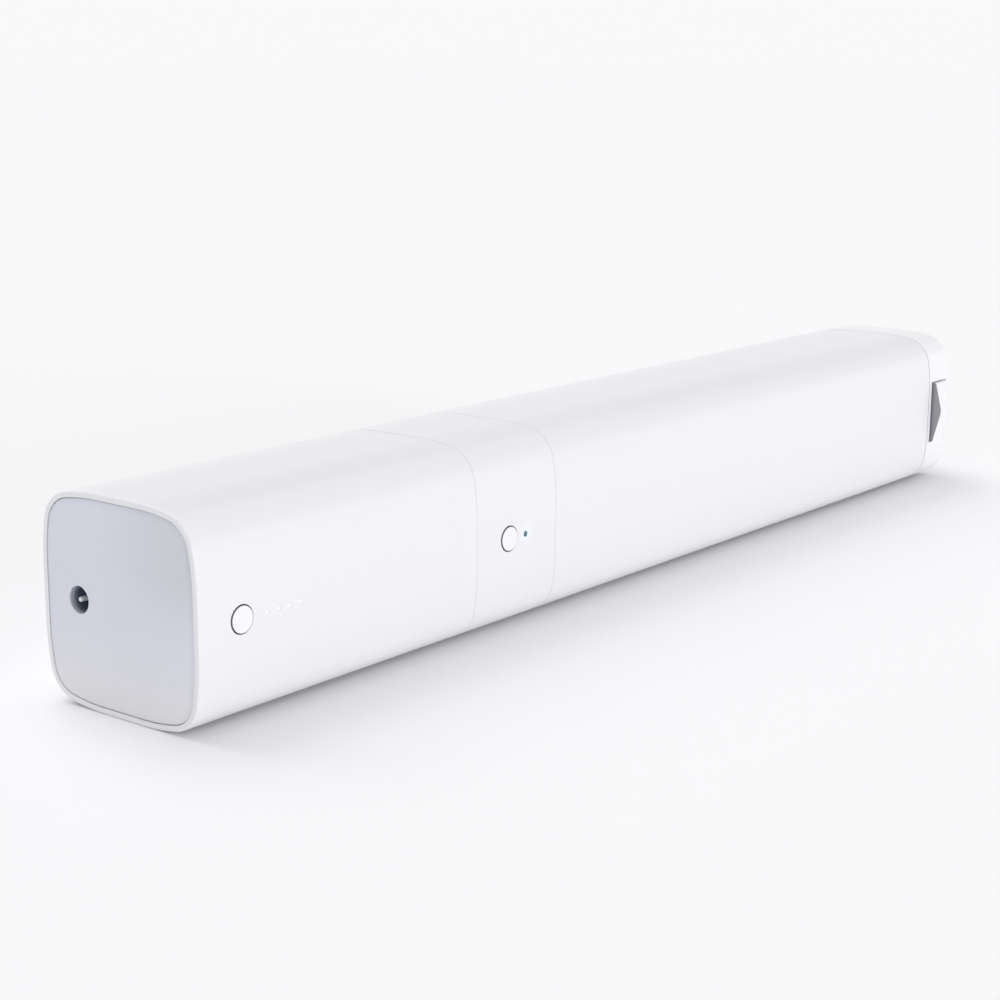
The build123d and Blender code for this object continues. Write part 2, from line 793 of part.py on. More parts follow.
with BuildPart() as isolators:
    rod(x_cover_front, x_mount, gearbox_radius)
    rod(x_cover_front, x_mount, mount_bore_radius, mode=Mode.SUBTRACT)
    for y, z in corners(gearbox_screw_offset):
        rod(x_cover_front, x_mount, screw_radius + through_clearance, y, z, Mode.SUBTRACT)
    rod(x_support, x_support + support_length, motor_radius + sleeve_rubber)
    rod(x_support, x_support + support_length, motor_radius + pilot_clearance, mode=Mode.SUBTRACT)
finish(isolators, "isolators")

with BuildPart() as rear_support:
    run(soft_square(shell_wall + seat_clearance), x_support, x_support + support_length)
    support_bore = motor_radius + sleeve_rubber + pilot_clearance
    rod(x_support, x_support + support_length, support_bore, mode=Mode.SUBTRACT)
finish(rear_support, "rear_support")

# Motor
bearing_bore = rotor_shaft_radius + running_clearance
x_stator = x_motor + (can_length - stator_length) / 2
x_stator_end = x_stator + stator_length
stator_radius = motor_radius - can_wall - pilot_clearance
pole_reach = rotor_magnet_radius + air_gap

with BuildPart() as motor_can:
    rod(x_motor, x_housing, motor_radius)
    rod(x_motor, x_housing - can_front, motor_radius - can_wall, mode=Mode.SUBTRACT)
    rod(x_housing - can_front, x_housing, bearing_bore, mode=Mode.SUBTRACT)
finish(motor_can, "motor_can")

with BuildPart() as motor_end_bell:
    rod(x_bell, x_motor, motor_radius)
    rod(x_bell, x_motor, bearing_bore, mode=Mode.SUBTRACT)
    fillet(motor_end_bell.faces().sort_by(Axis.X)[0].outer_wire().edges(), end_bell_edge)
finish(motor_end_bell, "motor_end_bell")

with BuildPart() as hall_board:
    rod(x_motor, x_motor + board_thickness, hall_board_radius)
    rod(x_motor, x_motor + board_thickness, hall_board_bore, mode=Mode.SUBTRACT)
finish(hall_board, "hall_board")

with BuildPart() as stator_core:
    with BuildSketch(across(x_stator)):
        Circle(stator_radius)
        Circle(stator_radius - yoke_width, mode=Mode.SUBTRACT)
        with PolarLocations(0, pole_count):
            Rectangle(stator_radius - yoke_width / 2, pole_width, align=(Align.MIN, Align.CENTER))
        Circle(pole_reach, mode=Mode.SUBTRACT)
    extrude(amount=stator_length)
finish(stator_core, "stator_core")

with BuildPart() as stator_coils:
    coil_inner = pole_reach + coil_pole_gap
    coil_outer = stator_radius - yoke_width - coil_yoke_gap
    coil_turns = (coil_inner + coil_outer) / 2
    with BuildSketch(across(x_stator - coil_overhang)):
        with PolarLocations(coil_turns, pole_count):
            Rectangle(coil_outer - coil_inner, pole_width + 2 * coil_thickness)
    extrude(amount=stator_length + 2 * coil_overhang)
    with BuildSketch(across(x_stator)):
        with PolarLocations(coil_turns, pole_count):
            Rectangle(coil_outer - coil_inner, pole_width)
    extrude(amount=stator_length, mode=Mode.SUBTRACT)
finish(stator_coils, "stator_coils")


def half_tooth(radius, teeth, thickness):
    """Half of an involute tooth's angle at a radius, in radians."""
    pitch_radius = gear_module * teeth / 2
    base_radius = pitch_radius * math.cos(math.radians(pressure_angle))
    at_pitch = math.radians(pressure_angle)
    at_radius = math.acos(min(1.0, base_radius / radius))
    involute_gain = math.tan(at_pitch) - at_pitch - math.tan(at_radius) + at_radius
    return thickness / (2 * pitch_radius) + involute_gain


def gear(teeth, root_radius, tip_radius, thickness, turn):
    """A gear's outline, one tooth centred at the turn given, with its flanks cut straight."""
    points = []
    for tooth in range(teeth):
        middle = math.radians(turn) + 2 * math.pi * tooth / teeth
        root = half_tooth(root_radius, teeth, thickness)
        tip = half_tooth(tip_radius, teeth, thickness)
        rising = ((root_radius, -root), (tip_radius, -tip))
        falling = ((tip_radius, tip), (root_radius, root))
        for radius, offset in rising + falling:
            points.append((radius * math.cos(middle + offset), radius * math.sin(middle + offset)))
    with BuildSketch(mode=Mode.PRIVATE) as outline:
        with BuildLine():
            Polyline(*points, close=True)
        make_face()
    return outline.sketch


def outer_gear(teeth, turn):
    """The outline of a sun or planet gear."""
    pitch_radius = gear_module * teeth / 2
    root_radius = pitch_radius - gear_module * dedendum_factor
    tip_radius = pitch_radius + gear_module * addendum_factor
    return gear(teeth, root_radius, tip_radius, math.pi * gear_module / 2 - tooth_backlash, turn)


def ring_space():
    """The open space inside the toothed ring, which has a tooth at the turn 0."""
    pitch_radius = gear_module * ring_teeth / 2
    tip_radius = pitch_radius - gear_module * addendum_factor
    root_radius = pitch_radius + gear_module * dedendum_factor
    space = math.pi * gear_module / 2 + tooth_backlash
    return gear(ring_teeth, tip_radius, root_radius, space, 180 / ring_teeth)


planet_orbit = gear_module * (sun_teeth + planet_teeth) / 2
planet_turns = [90 + 360 * n / planet_count for n in range(planet_count)]
planet_places = [
    (planet_orbit * math.cos(math.radians(turn)), planet_orbit * math.sin(math.radians(turn)))
    for turn in planet_turns
]

with BuildPart() as rotor_shaft:
    rod(x_bell - shaft_tail, x_first_gears, rotor_shaft_radius)
    run(outer_gear(sun_teeth, 0), x_first_gears, x_first_gears + gear_width)
finish(rotor_shaft, "rotor_shaft")

with BuildPart() as rotor_magnet:
    rod(x_stator, x_stator_end, rotor_magnet_radius)
    rod(x_stator, x_stator_end, rotor_shaft_radius + pilot_clearance, mode=Mode.SUBTRACT)
finish(rotor_magnet, "rotor_magnet")

# Gearbox
with BuildPart() as gear_housing:
    rod(x_housing, x_cover, gearbox_radius)
    run(ring_space(), x_housing + input_flange, x_cover, mode=Mode.SUBTRACT)
    rod(x_housing, x_cover, rotor_shaft_radius + part_gap, mode=Mode.SUBTRACT)
    for y, z in corners(gearbox_screw_offset):
        rod(x_cover - gearbox_screw_grip, x_cover, screw_radius + pilot_clearance, y, z, Mode.SUBTRACT)
finish(gear_housing, "gear_housing")

with BuildPart() as gearbox_cover:
    rod(x_cover, x_cover_front, gearbox_radius)
    rod(x_cover, x_cover_front, bush_radius + pilot_clearance, mode=Mode.SUBTRACT)
    for y, z in corners(gearbox_screw_offset):
        rod(x_cover, x_cover_front, screw_radius + through_clearance, y, z, Mode.SUBTRACT)
finish(gearbox_cover, "gearbox_cover")

with BuildPart() as gearbox_screws:
    for y, z in corners(gearbox_screw_offset):
        screw(x_cap_skirt, x_cover - gearbox_screw_grip + screw_tip_room, y, z)
finish(gearbox_screws, "gearbox_screws")


def planet_pins(x_gears, x_carrier):
    """The pins that carry the planets, standing back from their carrier."""
    for y, z in planet_places:
        rod(x_gears, x_carrier, planet_pin_radius, y, z)


with BuildPart() as first_carrier:
    rod(x_first_carrier, x_first_carrier + carrier_thickness, carrier_radius)
    planet_pins(x_first_gears, x_first_carrier)
    x_sun = x_first_carrier + carrier_thickness
    run(outer_gear(sun_teeth, 0), x_sun, x_second_gears + gear_width)
finish(first_carrier, "first_carrier")

x_shaft_end = x_tip - hub_nose_length
hub_flat = output_shaft_radius - shaft_flat_depth

with BuildPart() as output_carrier:
    rod(x_output_carrier, x_output_carrier + carrier_thickness, carrier_radius)
    planet_pins(x_second_gears, x_output_carrier)
    rod(x_output_carrier + carrier_thickness, x_shaft_end, output_shaft_radius)
    flat_span = (hub_flat, output_shaft_radius + cut_margin)
    flat_width = (-output_shaft_radius - cut_margin, output_shaft_radius + cut_margin)
    block((x_hub, x_shaft_end), flat_width, flat_span, Mode.SUBTRACT)
    x_thread_end = x_shaft_end - hub_screw_length
    rod(x_thread_end, x_shaft_end, screw_radius + pilot_clearance, mode=Mode.SUBTRACT)
finish(output_carrier, "output_carrier")


def planet(place, turn, x_gears):
    """A planet gear on its pin, a gap of its teeth facing the sun and another facing the ring."""
    y, z = place
    with BuildSketch(across(x_gears)) as teeth:
        with Locations((y, z)):
            add(outer_gear(planet_teeth, turn + 180 / planet_teeth))
            Circle(planet_pin_radius + running_clearance, mode=Mode.SUBTRACT)
    extrude(teeth.sketch, amount=gear_width)


for stage, x_gears in (("first", x_first_gears), ("second", x_second_gears)):
    for number in range(planet_count):
        with BuildPart() as planet_gear:
            planet(planet_places[number], planet_turns[number], x_gears)
        finish(planet_gear, f"{stage}_planet_{number + 1}")


def bush(x_from, x_to):
    """A sintered bush that the output shaft turns in."""
    rod(x_from, x_to, bush_radius)
    rod(x_from, x_to, output_shaft_radius + running_clearance, mode=Mode.SUBTRACT)


with BuildPart() as output_bush:
    bush(x_cover + gear_end_gap, x_cover_front)
finish(output_bush, "output_bush")

with BuildPart() as head_bush:
    bush(x_head - head_tube_length, x_register)
finish(head_bush, "head_bush")

# Leads from the motor's back to the board
with BuildPart() as motor_leads:
    lead_y = main_board_back + lead_radius
    lead_end_y = -lead_end_offset
    lead_run = x_bell - x_main_board_end
    for n in (-1, 0, 1):
        with BuildLine(seen_from_above(lead_pitch * n)) as route:
            FilletPolyline(
                (x_main_board_end - lead_solder_length, lead_y),
                (x_main_board_end + lead_run / 3, lead_y),
                (x_main_board_end + lead_run * 2 / 3, lead_end_y),
                (x_bell, lead_end_y),
                radius=lead_bend_radius,
            )
        with BuildSketch(Plane(origin=route.line @ 0, z_dir=route.line % 0)) as wire:
            Circle(lead_radius)
        sweep(wire.sketch, path=route.line)
finish(motor_leads, "motor_leads")

# Latch on the head: window, ears, pin, lever and its leaf spring
latch_z = latch_centre_height - axis_height
pad_z = (latch_z - latch_half_height, latch_z + latch_half_height)
x_pad_front = x_head - pad_front_setback
x_pad = x_pad_front - pad_length
x_pivot = x_head - pivot_setback
pivot_y = -half_side + pivot_depth
window_z = (pad_z[0] - latch_gap, pad_z[1] + latch_gap)
arm_y = (-half_side + arm_depth, -half_side + arm_depth + arm_thickness)
x_plate = x_head - end_plate_thickness
x_leaf = x_pad - leaf_setback
leaf_seat_y = -half_side + leaf_seat_depth
lever_inside = -half_side + lever_plate_thickness

with BuildPart() as head_cap:
    shell(x_main, x_head, 0, sleeve_inset)
    run(soft_square(0), x_plate, x_head)
    chamfer(head_cap.faces().sort_by(Axis.X)[0].outer_wire().edges(), seam_chamfer)
    fillet(head_cap.faces().sort_by(Axis.X)[-1].outer_wire().edges(), end_rounding)
    shell(x_cap_skirt, x_main, fitted_inset, sleeve_inset)
    rod(x_head - head_tube_length, x_head, head_tube_radius)
    rod(x_head, x_register, register_radius)
    chamfer(head_cap.faces().sort_by(Axis.X)[-1].outer_wire().edges(), register_chamfer)
    rod(x_head - head_tube_length, x_register, bush_radius + pilot_clearance, mode=Mode.SUBTRACT)
    corner_bosses(x_main, x_head - screw_head_height, sleeve_wall)
    for y, z in corners(boss_offset):
        rod(x_main, x_head, screw_radius + through_clearance, y, z, Mode.SUBTRACT)
        x_recess = x_head - screw_head_height - part_gap
        rod(x_recess, x_head, screw_head_radius + through_clearance, y, z, Mode.SUBTRACT)
    leaf_seat_z = (latch_z - leaf_half_width, latch_z + leaf_half_width)
    block((x_leaf, x_plate), (leaf_seat_y, leaf_seat_y + leaf_seat_thickness), leaf_seat_z)
    ear_y = (-half_side + sleeve_inset - root_depth, -half_side + sleeve_inset + ear_depth)
    for side in (-1, 1):
        ear_inner = latch_z + side * (latch_half_height + latch_gap)
        ear_outer = ear_inner + side * (latch_pin_overlap + ear_end_wall)
        block((x_plate - ear_length, x_plate), ear_y, sorted((ear_inner, ear_outer)))
    window_x = (x_pad - lever_swing_room, x_head - lever_front_setback + latch_gap)
    block(window_x, (-half_side - cut_margin, ear_y[1]), window_z, Mode.SUBTRACT)
    slot_y = (arm_y[0] - arm_swing_room, arm_y[1] + latch_gap)
    slot_z = (latch_z - arm_half_height - latch_gap, latch_z + arm_half_height + latch_gap)
    block((x_plate, x_head), slot_y, slot_z, Mode.SUBTRACT)
    pin_half = latch_half_height + latch_gap + latch_pin_overlap
    with BuildSketch(seen_from_above(latch_z - pin_half)) as pin_hole:
        with Locations((x_pivot, pivot_y)):
            Circle(latch_pin_radius + pilot_clearance)
    extrude(pin_hole.sketch, amount=2 * pin_half, mode=Mode.SUBTRACT)
finish(head_cap, "head_cap")

with BuildPart() as head_screws:
    for y, z in corners(boss_offset):
        screw(x_head - screw_head_height - part_gap, x_mount - boss_length + screw_tip_room, y, z)
finish(head_screws, "head_screws")

with BuildPart() as latch_pin:
    with BuildSketch(seen_from_above(latch_z - pin_half)):
        with Locations((x_pivot, pivot_y)):
            Circle(latch_pin_radius)
    extrude(amount=2 * pin_half)
finish(latch_pin, "latch_pin")

with BuildPart() as latch_lever:
    with BuildSketch(across(x_pad)):
        with BuildLine():
            Polyline(
                (lever_inside, latch_z - latch_half_height),
                (-half_side - pad_bottom_proud, latch_z - latch_half_height),
                (-half_side - pad_ridge_proud, latch_z + pad_ridge_height),
                (-half_side - pad_top_proud, latch_z + latch_half_height),
                (lever_inside, latch_z + latch_half_height),
                close=True,
            )
        make_face()
    extrude(amount=pad_length)
    fillet(latch_lever.edges().filter_by(Axis.X).sort_by(Axis.Y)[0], pad_ridge_radius)
    fillet(latch_lever.edges().filter_by(Axis.X).group_by(Axis.Z)[0].sort_by(Axis.Y)[0], pad_edge)
    fillet(latch_lever.edges().filter_by(Axis.X).group_by(Axis.Z)[-1].sort_by(Axis.Y)[0], pad_edge)
    plate_x = (x_pad, x_head - lever_front_setback)
    block(plate_x, (-half_side + lever_plate_sink, lever_inside), pad_z)
    with BuildSketch(seen_from_above(latch_z - latch_half_height)) as knuckle:
        with Locations((x_pivot, pivot_y)):
            Circle(knuckle_radius)
    extrude(knuckle.sketch, amount=2 * latch_half_height)
    arm_z = (latch_z - arm_half_height, latch_z + arm_half_height)
    block((x_pivot - arm_root, x_head + arm_reach), arm_y, arm_z)
    hook_y = (arm_y[1], arm_y[1] + hook_height)
    block((x_head + arm_reach - hook_length, x_head + arm_reach), hook_y, arm_z)
    with BuildSketch(seen_from_above(latch_z - latch_half_height)) as pin_bore:
        with Locations((x_pivot, pivot_y)):
            Circle(latch_pin_radius + running_clearance)
    extrude(pin_bore.sketch, amount=2 * latch_half_height, mode=Mode.SUBTRACT)
finish(latch_lever, "latch_lever")

with BuildPart() as latch_spring:
    leaf_bottom = leaf_seat_y - leaf_play
    leaf_top = lever_inside + leaf_play
    with BuildSketch(seen_from_above(latch_z - leaf_half_width)):
        with BuildLine():
            outer = ThreePointArc(
                (x_leaf, leaf_bottom), (x_leaf + leaf_span / 2, leaf_top), (x_leaf + leaf_span, leaf_bottom)
            )
            inner = ThreePointArc(
                (x_leaf + leaf_thickness, leaf_bottom),
                (x_leaf + leaf_span / 2, leaf_top + leaf_thickness),
                (x_leaf + leaf_span - leaf_thickness, leaf_bottom),
            )
            Line(outer @ 0, inner @ 0)
            Line(outer @ 1, inner @ 1)
        make_face()
    extrude(amount=2 * leaf_half_width)
finish(latch_spring, "latch_spring")

# Drive hub on the end of the output shaft
with BuildPart() as drive_hub:
    rod(x_hub, x_hub + hub_flange_thickness, hub_flange_radius)
    with BuildSketch(across(x_hub)) as spline:
        Circle(hub_root_radius)
        with PolarLocations(0, hub_spline_count):
            Rectangle(hub_spline_radius, hub_spline_width, align=(Align.MIN, Align.CENTER))
        Circle(hub_spline_radius, mode=Mode.INTERSECT)
    extrude(spline.sketch, amount=hub_length)
    chamfer(drive_hub.faces().sort_by(Axis.X)[-1].outer_wire().edges(), hub_chamfer)
    with BuildSketch(across(x_hub)) as bore:
        Circle(output_shaft_radius + pilot_clearance)
        with Locations((0, hub_flat + pilot_clearance + output_shaft_radius)):
            Rectangle(3 * output_shaft_radius, 2 * output_shaft_radius, mode=Mode.SUBTRACT)
    extrude(bore.sketch, amount=x_shaft_end - x_hub, mode=Mode.SUBTRACT)
    rod(x_shaft_end, x_tip, screw_radius + through_clearance, mode=Mode.SUBTRACT)
    x_screw_seat = x_tip - screw_head_height
    rod(x_screw_seat, x_tip, screw_head_radius + through_clearance, mode=Mode.SUBTRACT)
finish(drive_hub, "drive_hub")

with BuildPart() as hub_screw:
    screw(x_screw_seat, x_thread_end + screw_tip_room, 0, 0)
finish(hub_screw, "hub_screw")

print("overall length", round(overall_length, 2))
print("origin to battery end", round(-x_end, 2), "to the head's face", round(x_head, 2))
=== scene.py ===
# %% [markdown]
# # A battery drive motor for a curtain track
#
# The object is a white bar of one soft-square section, lying on a pale floor. Its shape was drawn in a CAD
# program, and this lesson dresses it: it gives each piece its finish, rounds what the CAD mesh leaves
# faceted, and sets up the floor, the light and the camera.
#
# We start by loading the CAD model. Every length here is in metres, X runs along the bar and Z is up.

# %% Load the CAD model
import bpy
import bmesh
import json
import math
from mathutils import Matrix, Vector


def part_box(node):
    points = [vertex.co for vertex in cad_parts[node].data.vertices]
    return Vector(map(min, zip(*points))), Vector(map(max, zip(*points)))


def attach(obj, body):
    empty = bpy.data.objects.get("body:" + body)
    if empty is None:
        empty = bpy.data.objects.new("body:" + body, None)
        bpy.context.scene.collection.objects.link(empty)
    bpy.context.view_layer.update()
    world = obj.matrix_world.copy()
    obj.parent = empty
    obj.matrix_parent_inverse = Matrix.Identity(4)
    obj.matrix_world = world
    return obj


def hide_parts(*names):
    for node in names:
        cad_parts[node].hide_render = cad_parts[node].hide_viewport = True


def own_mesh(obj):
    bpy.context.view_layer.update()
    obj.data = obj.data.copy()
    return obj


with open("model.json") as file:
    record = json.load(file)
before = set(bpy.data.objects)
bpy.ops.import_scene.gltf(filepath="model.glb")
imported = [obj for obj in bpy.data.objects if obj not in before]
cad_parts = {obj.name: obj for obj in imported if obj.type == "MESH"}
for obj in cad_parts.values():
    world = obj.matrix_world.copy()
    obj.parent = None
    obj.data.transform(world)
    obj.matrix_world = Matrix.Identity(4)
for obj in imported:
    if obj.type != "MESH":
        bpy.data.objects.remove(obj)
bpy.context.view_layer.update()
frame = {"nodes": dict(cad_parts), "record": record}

# %% [markdown]
# ## The sizes that the looks follow
#
# The housing's section is a square with flats, long blends and tight corners, all tangent to each other. A
# few of its sizes are enough to work out the rest. The stations along the bar are read from the CAD pieces
# themselves, so that nothing made here can drift away from them.

# %% Sizes of the section and stations along the bar
AXIS_HEIGHT = 0.030
HALF_SIDE = 0.030
SIDE_FLAT = 0.016
HALF_FLAT = SIDE_FLAT / 2
BLEND_RADIUS = 0.065
CORNER_RADIUS = 0.0105
SHELL_WALL = 0.002
SEAM_CHAMFER = 0.00025
SEAM_GAP = 0.00001
HEAD_SEAM_GAP = 0.0003

X_PACK_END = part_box("battery_shell")[1].x
X_MAIN_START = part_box("main_shell")[0].x
X_MAIN_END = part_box("main_shell")[1].x


def section_constants():
    """Where the blends and corners of the section have their centres, and the angle at which they meet."""
    drop = HALF_SIDE - BLEND_RADIUS
    # The corner's centre is at (t, t) on the diagonal. It is the difference of the radii away from the centre
    # of the blend that the corner touches, which gives 2 t^2 + linear t + constant = 0.
    linear = -2 * (HALF_FLAT + drop)
    constant = HALF_FLAT ** 2 + drop ** 2 - (BLEND_RADIUS - CORNER_RADIUS) ** 2
    corner = (-linear + math.sqrt(linear ** 2 - 8 * constant)) / 4
    return drop, corner, math.atan2(corner - HALF_FLAT, corner - drop)


BLEND_DROP, CORNER_CENTRE, BLEND_ANGLE = section_constants()
print("corner centre", round(CORNER_CENTRE, 5), "blend angle", round(math.degrees(BLEND_ANGLE), 2))

# %% [markdown]
# ## Maths for nodes, written as Python
#
# Node trees are easier to read as formulas. The class below wraps one socket. Adding or multiplying two of
# them adds a Math node, so `1 - mask` is a piece of a material. The same class serves geometry trees, because
# they use the same Math node.


# %% A socket that understands arithmetic
def feed(tree, place, value):
    """Gives an input a link or a plain value."""
    if isinstance(value, Wire):
        tree.links.new(value.socket, place)
    else:
        place.default_value = value


class Wire:
    """One socket on its way through a node tree."""

    def __init__(self, tree, socket):
        self.tree = tree
        self.socket = socket

    def math(self, operation, *values):
        step = self.tree.nodes.new("ShaderNodeMath")
        step.operation = operation
        for place, value in zip(step.inputs, values):
            feed(self.tree, place, value)
        return Wire(self.tree, step.outputs[0])

    def __add__(self, other):
        return self.math("ADD", self, other)

    def __radd__(self, other):
        return self.math("ADD", other, self)

    def __sub__(self, other):
        return self.math("SUBTRACT", self, other)

    def __rsub__(self, other):
        return self.math("SUBTRACT", other, self)

    def __mul__(self, other):
        return self.math("MULTIPLY", self, other)

    def __rmul__(self, other):
        return self.math("MULTIPLY", other, self)

    def __truediv__(self, other):
        return self.math("DIVIDE", self, other)

    def __rtruediv__(self, other):
        return self.math("DIVIDE", other, self)

    def __pow__(self, other):
        return self.math("POWER", self, other)

    def __mod__(self, other):
        return self.math("FLOORED_MODULO", self, other)

    def __lt__(self, other):
        return self.math("LESS_THAN", self, other)

    def __gt__(self, other):
        return self.math("GREATER_THAN", self, other)

    def __abs__(self):
        return self.math("ABSOLUTE", self)

    def sine(self):
        return self.math("SINE", self)

    def cosine(self):
        return self.math("COSINE", self)

    def floor(self):
        return self.math("FLOOR", self)

    def held(self, low, high):
        return self.math("MINIMUM", self.math("MAXIMUM", self, low), high)


class Tree:
    """A node tree, filled one node at a time."""

    def __init__(self, tree):
        self.tree = tree

    def node(self, kind, settings=None, inputs=None):
        """Adds a node: its settings first, then its inputs. Gives its outputs by name."""
        made = self.tree.nodes.new(kind)
        for key, value in (settings or {}).items():
            setattr(made, key, value)
        places = {s.name: s for s in reversed(made.inputs) if s.enabled}
        for key, value in (inputs or {}).items():
            feed(self.tree, places[key], value)
        return {s.name: Wire(self.tree, s) for s in reversed(made.outputs) if s.enabled}

    def split(self, vector):
        """The X, Y and Z of a vector."""
        return self.node("ShaderNodeSeparateXYZ", {}, {"Vector": vector})

    def point(self, **parts):
        """A vector from its X, Y and Z. What isn't given is 0."""
        return self.node("ShaderNodeCombineXYZ", {}, parts)["Vector"]


print("the socket class is ready")

# %% [markdown]
# ## Finishes
#
# Every finish is built from the surface's own place in the object (Object coordinates), so it needs no
# picture and no unwrapping. A finish starts from a Principled surface. Its colour, roughness and relief vary
# over the surface, and everything else is a plain number.


# %% One finish and the helpers that all of them share
def from_screen(red, green, blue):
    """A colour read off a screen, 0 to 255, as the linear values that Blender works in."""
    def linear(v):
        v = v / 255
        return v / 12.92 if v <= 0.04045 else ((v + 0.055) / 1.055) ** 2.4
    return (linear(red), linear(green), linear(blue), 1.0)


class Finish(Tree):
    """A material that ends in one Principled surface."""

    def __init__(self, name):
        self.material = bpy.data.materials.new(name)
        self.material.use_nodes = True
        super().__init__(self.material.node_tree)
        self.surface = self.tree.nodes["Principled BSDF"]
        self.place = self.node("ShaderNodeTexCoord")["Object"]

    def set(self, **values):
        """Sets the surface's inputs, named in lower case with underscores."""
        for key, value in values.items():
            title = key.replace("_", " ").title().replace("Ior", "IOR")
            feed(self.tree, self.surface.inputs[title], value)

    def noise(self, size, detail=2.0, place=None):
        """Cloudy variation from 0 to 1, whose features are about this large."""
        inputs = {"Vector": place or self.place, "Scale": 1.0 / size, "Detail": detail}
        return self.node("ShaderNodeTexNoise", {}, inputs)["Fac"]

    def stretched(self, along):
        """The place with its scale multiplied on each axis, for brush lines and layers."""
        return self.node("ShaderNodeMapping", {}, {"Vector": self.place, "Scale": along})["Vector"]

    def mix(self, factor, first, second):
        """A colour between two others."""
        inputs = {"Factor": factor, "A": first, "B": second}
        return self.node("ShaderNodeMix", {"data_type": "RGBA"}, inputs)["Result"]

    def shaded(self, colour, spread, mask):
        """A colour that gets a little darker where the mask is 0 and lighter where it is 1."""
        low = tuple(c * (1 - spread) for c in colour[:3]) + (1.0,)
        high = tuple(min(1.0, c * (1 + spread)) for c in colour[:3]) + (1.0,)
        return self.mix(mask, low, high)

    def relief(self, height, depth):
        """The surface's normal for a height map of this depth."""
        inputs = {"Strength": 1.0, "Distance": depth, "Height": height}
        return self.node("ShaderNodeBump", {}, inputs)["Normal"]

    def roughened(self, roughness, *changes):
        """A roughness that noise moves up and down by these amounts, held clear of a mirror and of chalk."""
        for noise, amount in changes:
            roughness = roughness + amount * (noise - 0.5)
        return roughness.held(0.05, 0.95)


print("the finish class is ready")

# %% [markdown]
# ### Moulded plastic
#
# A moulded housing is not mirror smooth: its mould is spark-eroded, which leaves a grain of a few tenths of a
# millimetre that is only microns deep. The grain turns sharp reflections into soft bands. Very broad, very
# faint variation in roughness stands for handling.


# %% Moulded plastic, from matt to glossy
MOULD_GRAIN = 0.00035
BROAD_CLOUD, BROAD_CHANGE = 0.045, 0.06
FINE_CLOUD, FINE_CHANGE = 0.004, 0.05


def moulded(name, colour, roughness, grain_depth=4e-6, mottle=0.006):
    finish = Finish(name)
    grain = finish.noise(MOULD_GRAIN, 3.0)
    broad = finish.noise(BROAD_CLOUD)
    fine = finish.noise(FINE_CLOUD)
    finish.set(
        base_color=finish.shaded(colour, mottle, broad),
        roughness=finish.roughened(roughness, (fine, FINE_CHANGE), (broad, BROAD_CHANGE)),
        normal=finish.relief(grain, grain_depth),
    )
    return finish


WHITE = from_screen(234, 234, 237)
BRIGHT_WHITE = from_screen(240, 240, 242)
housing_white = moulded("satin_white_plastic", WHITE, 0.34)
# The head's brighter white is painted light: a lit copy of the housing's white.
head_white_painted_light = moulded("satin_white_head", BRIGHT_WHITE, 0.34)
button_white = moulded("button_white_plastic", BRIGHT_WHITE, 0.22, grain_depth=1e-6)
light_guide = moulded("milky_light_guide", from_screen(249, 249, 250), 0.18, grain_depth=1e-6)
# Painted shade for the shadow in the gap round a button.
gap_painted_shade = moulded("shaded_button_gap", from_screen(124, 124, 128), 0.6)
side_grey = moulded("latch_side_plastic", from_screen(158, 156, 163), 0.5, mottle=0.01)
# Painted shade for the wall of the jack's hole, darker than the panel.
hole_painted_shade = moulded("hole_wall_plastic", from_screen(192, 196, 206), 0.5, grain_depth=1e-6)
# A slate lighter than the socket's black nylon: painted light in the deep bore.
jack_slate = moulded("jack_slate", from_screen(84, 93, 110), 0.5, grain_depth=1e-6)
nylon_black = moulded("black_nylon", from_screen(36, 38, 44), 0.45, grain_depth=6e-6)
component_black = moulded("component_black", from_screen(40, 41, 44), 0.5, grain_depth=8e-6)
acetal = moulded("natural_acetal", from_screen(232, 229, 218), 0.40)
print("plastics", len(bpy.data.materials))

# %% [markdown]
# ### The end panel and the seam edges
#
# Two plastics change tone over their surface, as they do in the photograph. Both changes are painted light
# and shade. The end panel is a cool grey with a painted reflection: it turns warmer and lighter towards the
# floor, and deeper in its upper corner at the front. The edges of the seams hold a little shade, and more of
# it towards the back of the bar.

# %% Plastics with painted light and shade that change with place
PANEL_LOW, PANEL_MIDDLE, PANEL_RISE = 0.004, 0.026, 0.015
PANEL_FRONT_START, PANEL_FRONT_SPREAD = 0.008, 0.034
panel_grey = moulded("pale_panel_plastic", WHITE, 0.42, grain_depth=3e-6)
panel_place = panel_grey.split(panel_grey.place)
panel_low = ((PANEL_MIDDLE - panel_place["Z"]) / (PANEL_MIDDLE - PANEL_LOW)).held(0.0, 1.0)
panel_high = ((panel_place["Z"] - PANEL_MIDDLE) / PANEL_RISE).held(0.0, 1.0)
panel_front = ((PANEL_FRONT_START - panel_place["Y"]) / PANEL_FRONT_SPREAD).held(0.0, 1.0)
# Painted reflection: the panel turns warmer and lighter towards the floor and deeper in its upper front
# corner.
panel_painted_light = panel_grey.mix(panel_low, from_screen(218, 220, 231), from_screen(229, 228, 231))
panel_painted_light = panel_grey.mix(panel_front * panel_high, panel_painted_light, from_screen(208, 210, 217))
panel_grey.set(base_color=panel_painted_light)

seam_white = moulded("shaded_seam_edge", WHITE, 0.5)
seam_back = ((seam_white.split(seam_white.place)["Y"] + HALF_SIDE) / (2 * HALF_SIDE)).held(0.0, 1.0)
seam_white.set(base_color=seam_white.mix(seam_back, from_screen(227, 227, 230), from_screen(190, 190, 195)))
print("plastics with a tone", panel_grey.material.name, seam_white.material.name)

# %% [markdown]
# ### Metals
#
# Turned and drawn metal has fine lines along the way the tool went. Noise that is squeezed hard along two
# axes gives those lines. They change the roughness and a very shallow relief. The jack's pin is only partly
# metallic, because a full metal would mirror nothing but the dark hole round it.


# %% Metals with a direction
TOOL_LINE, LINE_CHANGE = 0.002, 0.16
HANDLING_CLOUD, HANDLING_CHANGE = 0.012, 0.06
EVEN = (1.0, 1.0, 1.0)


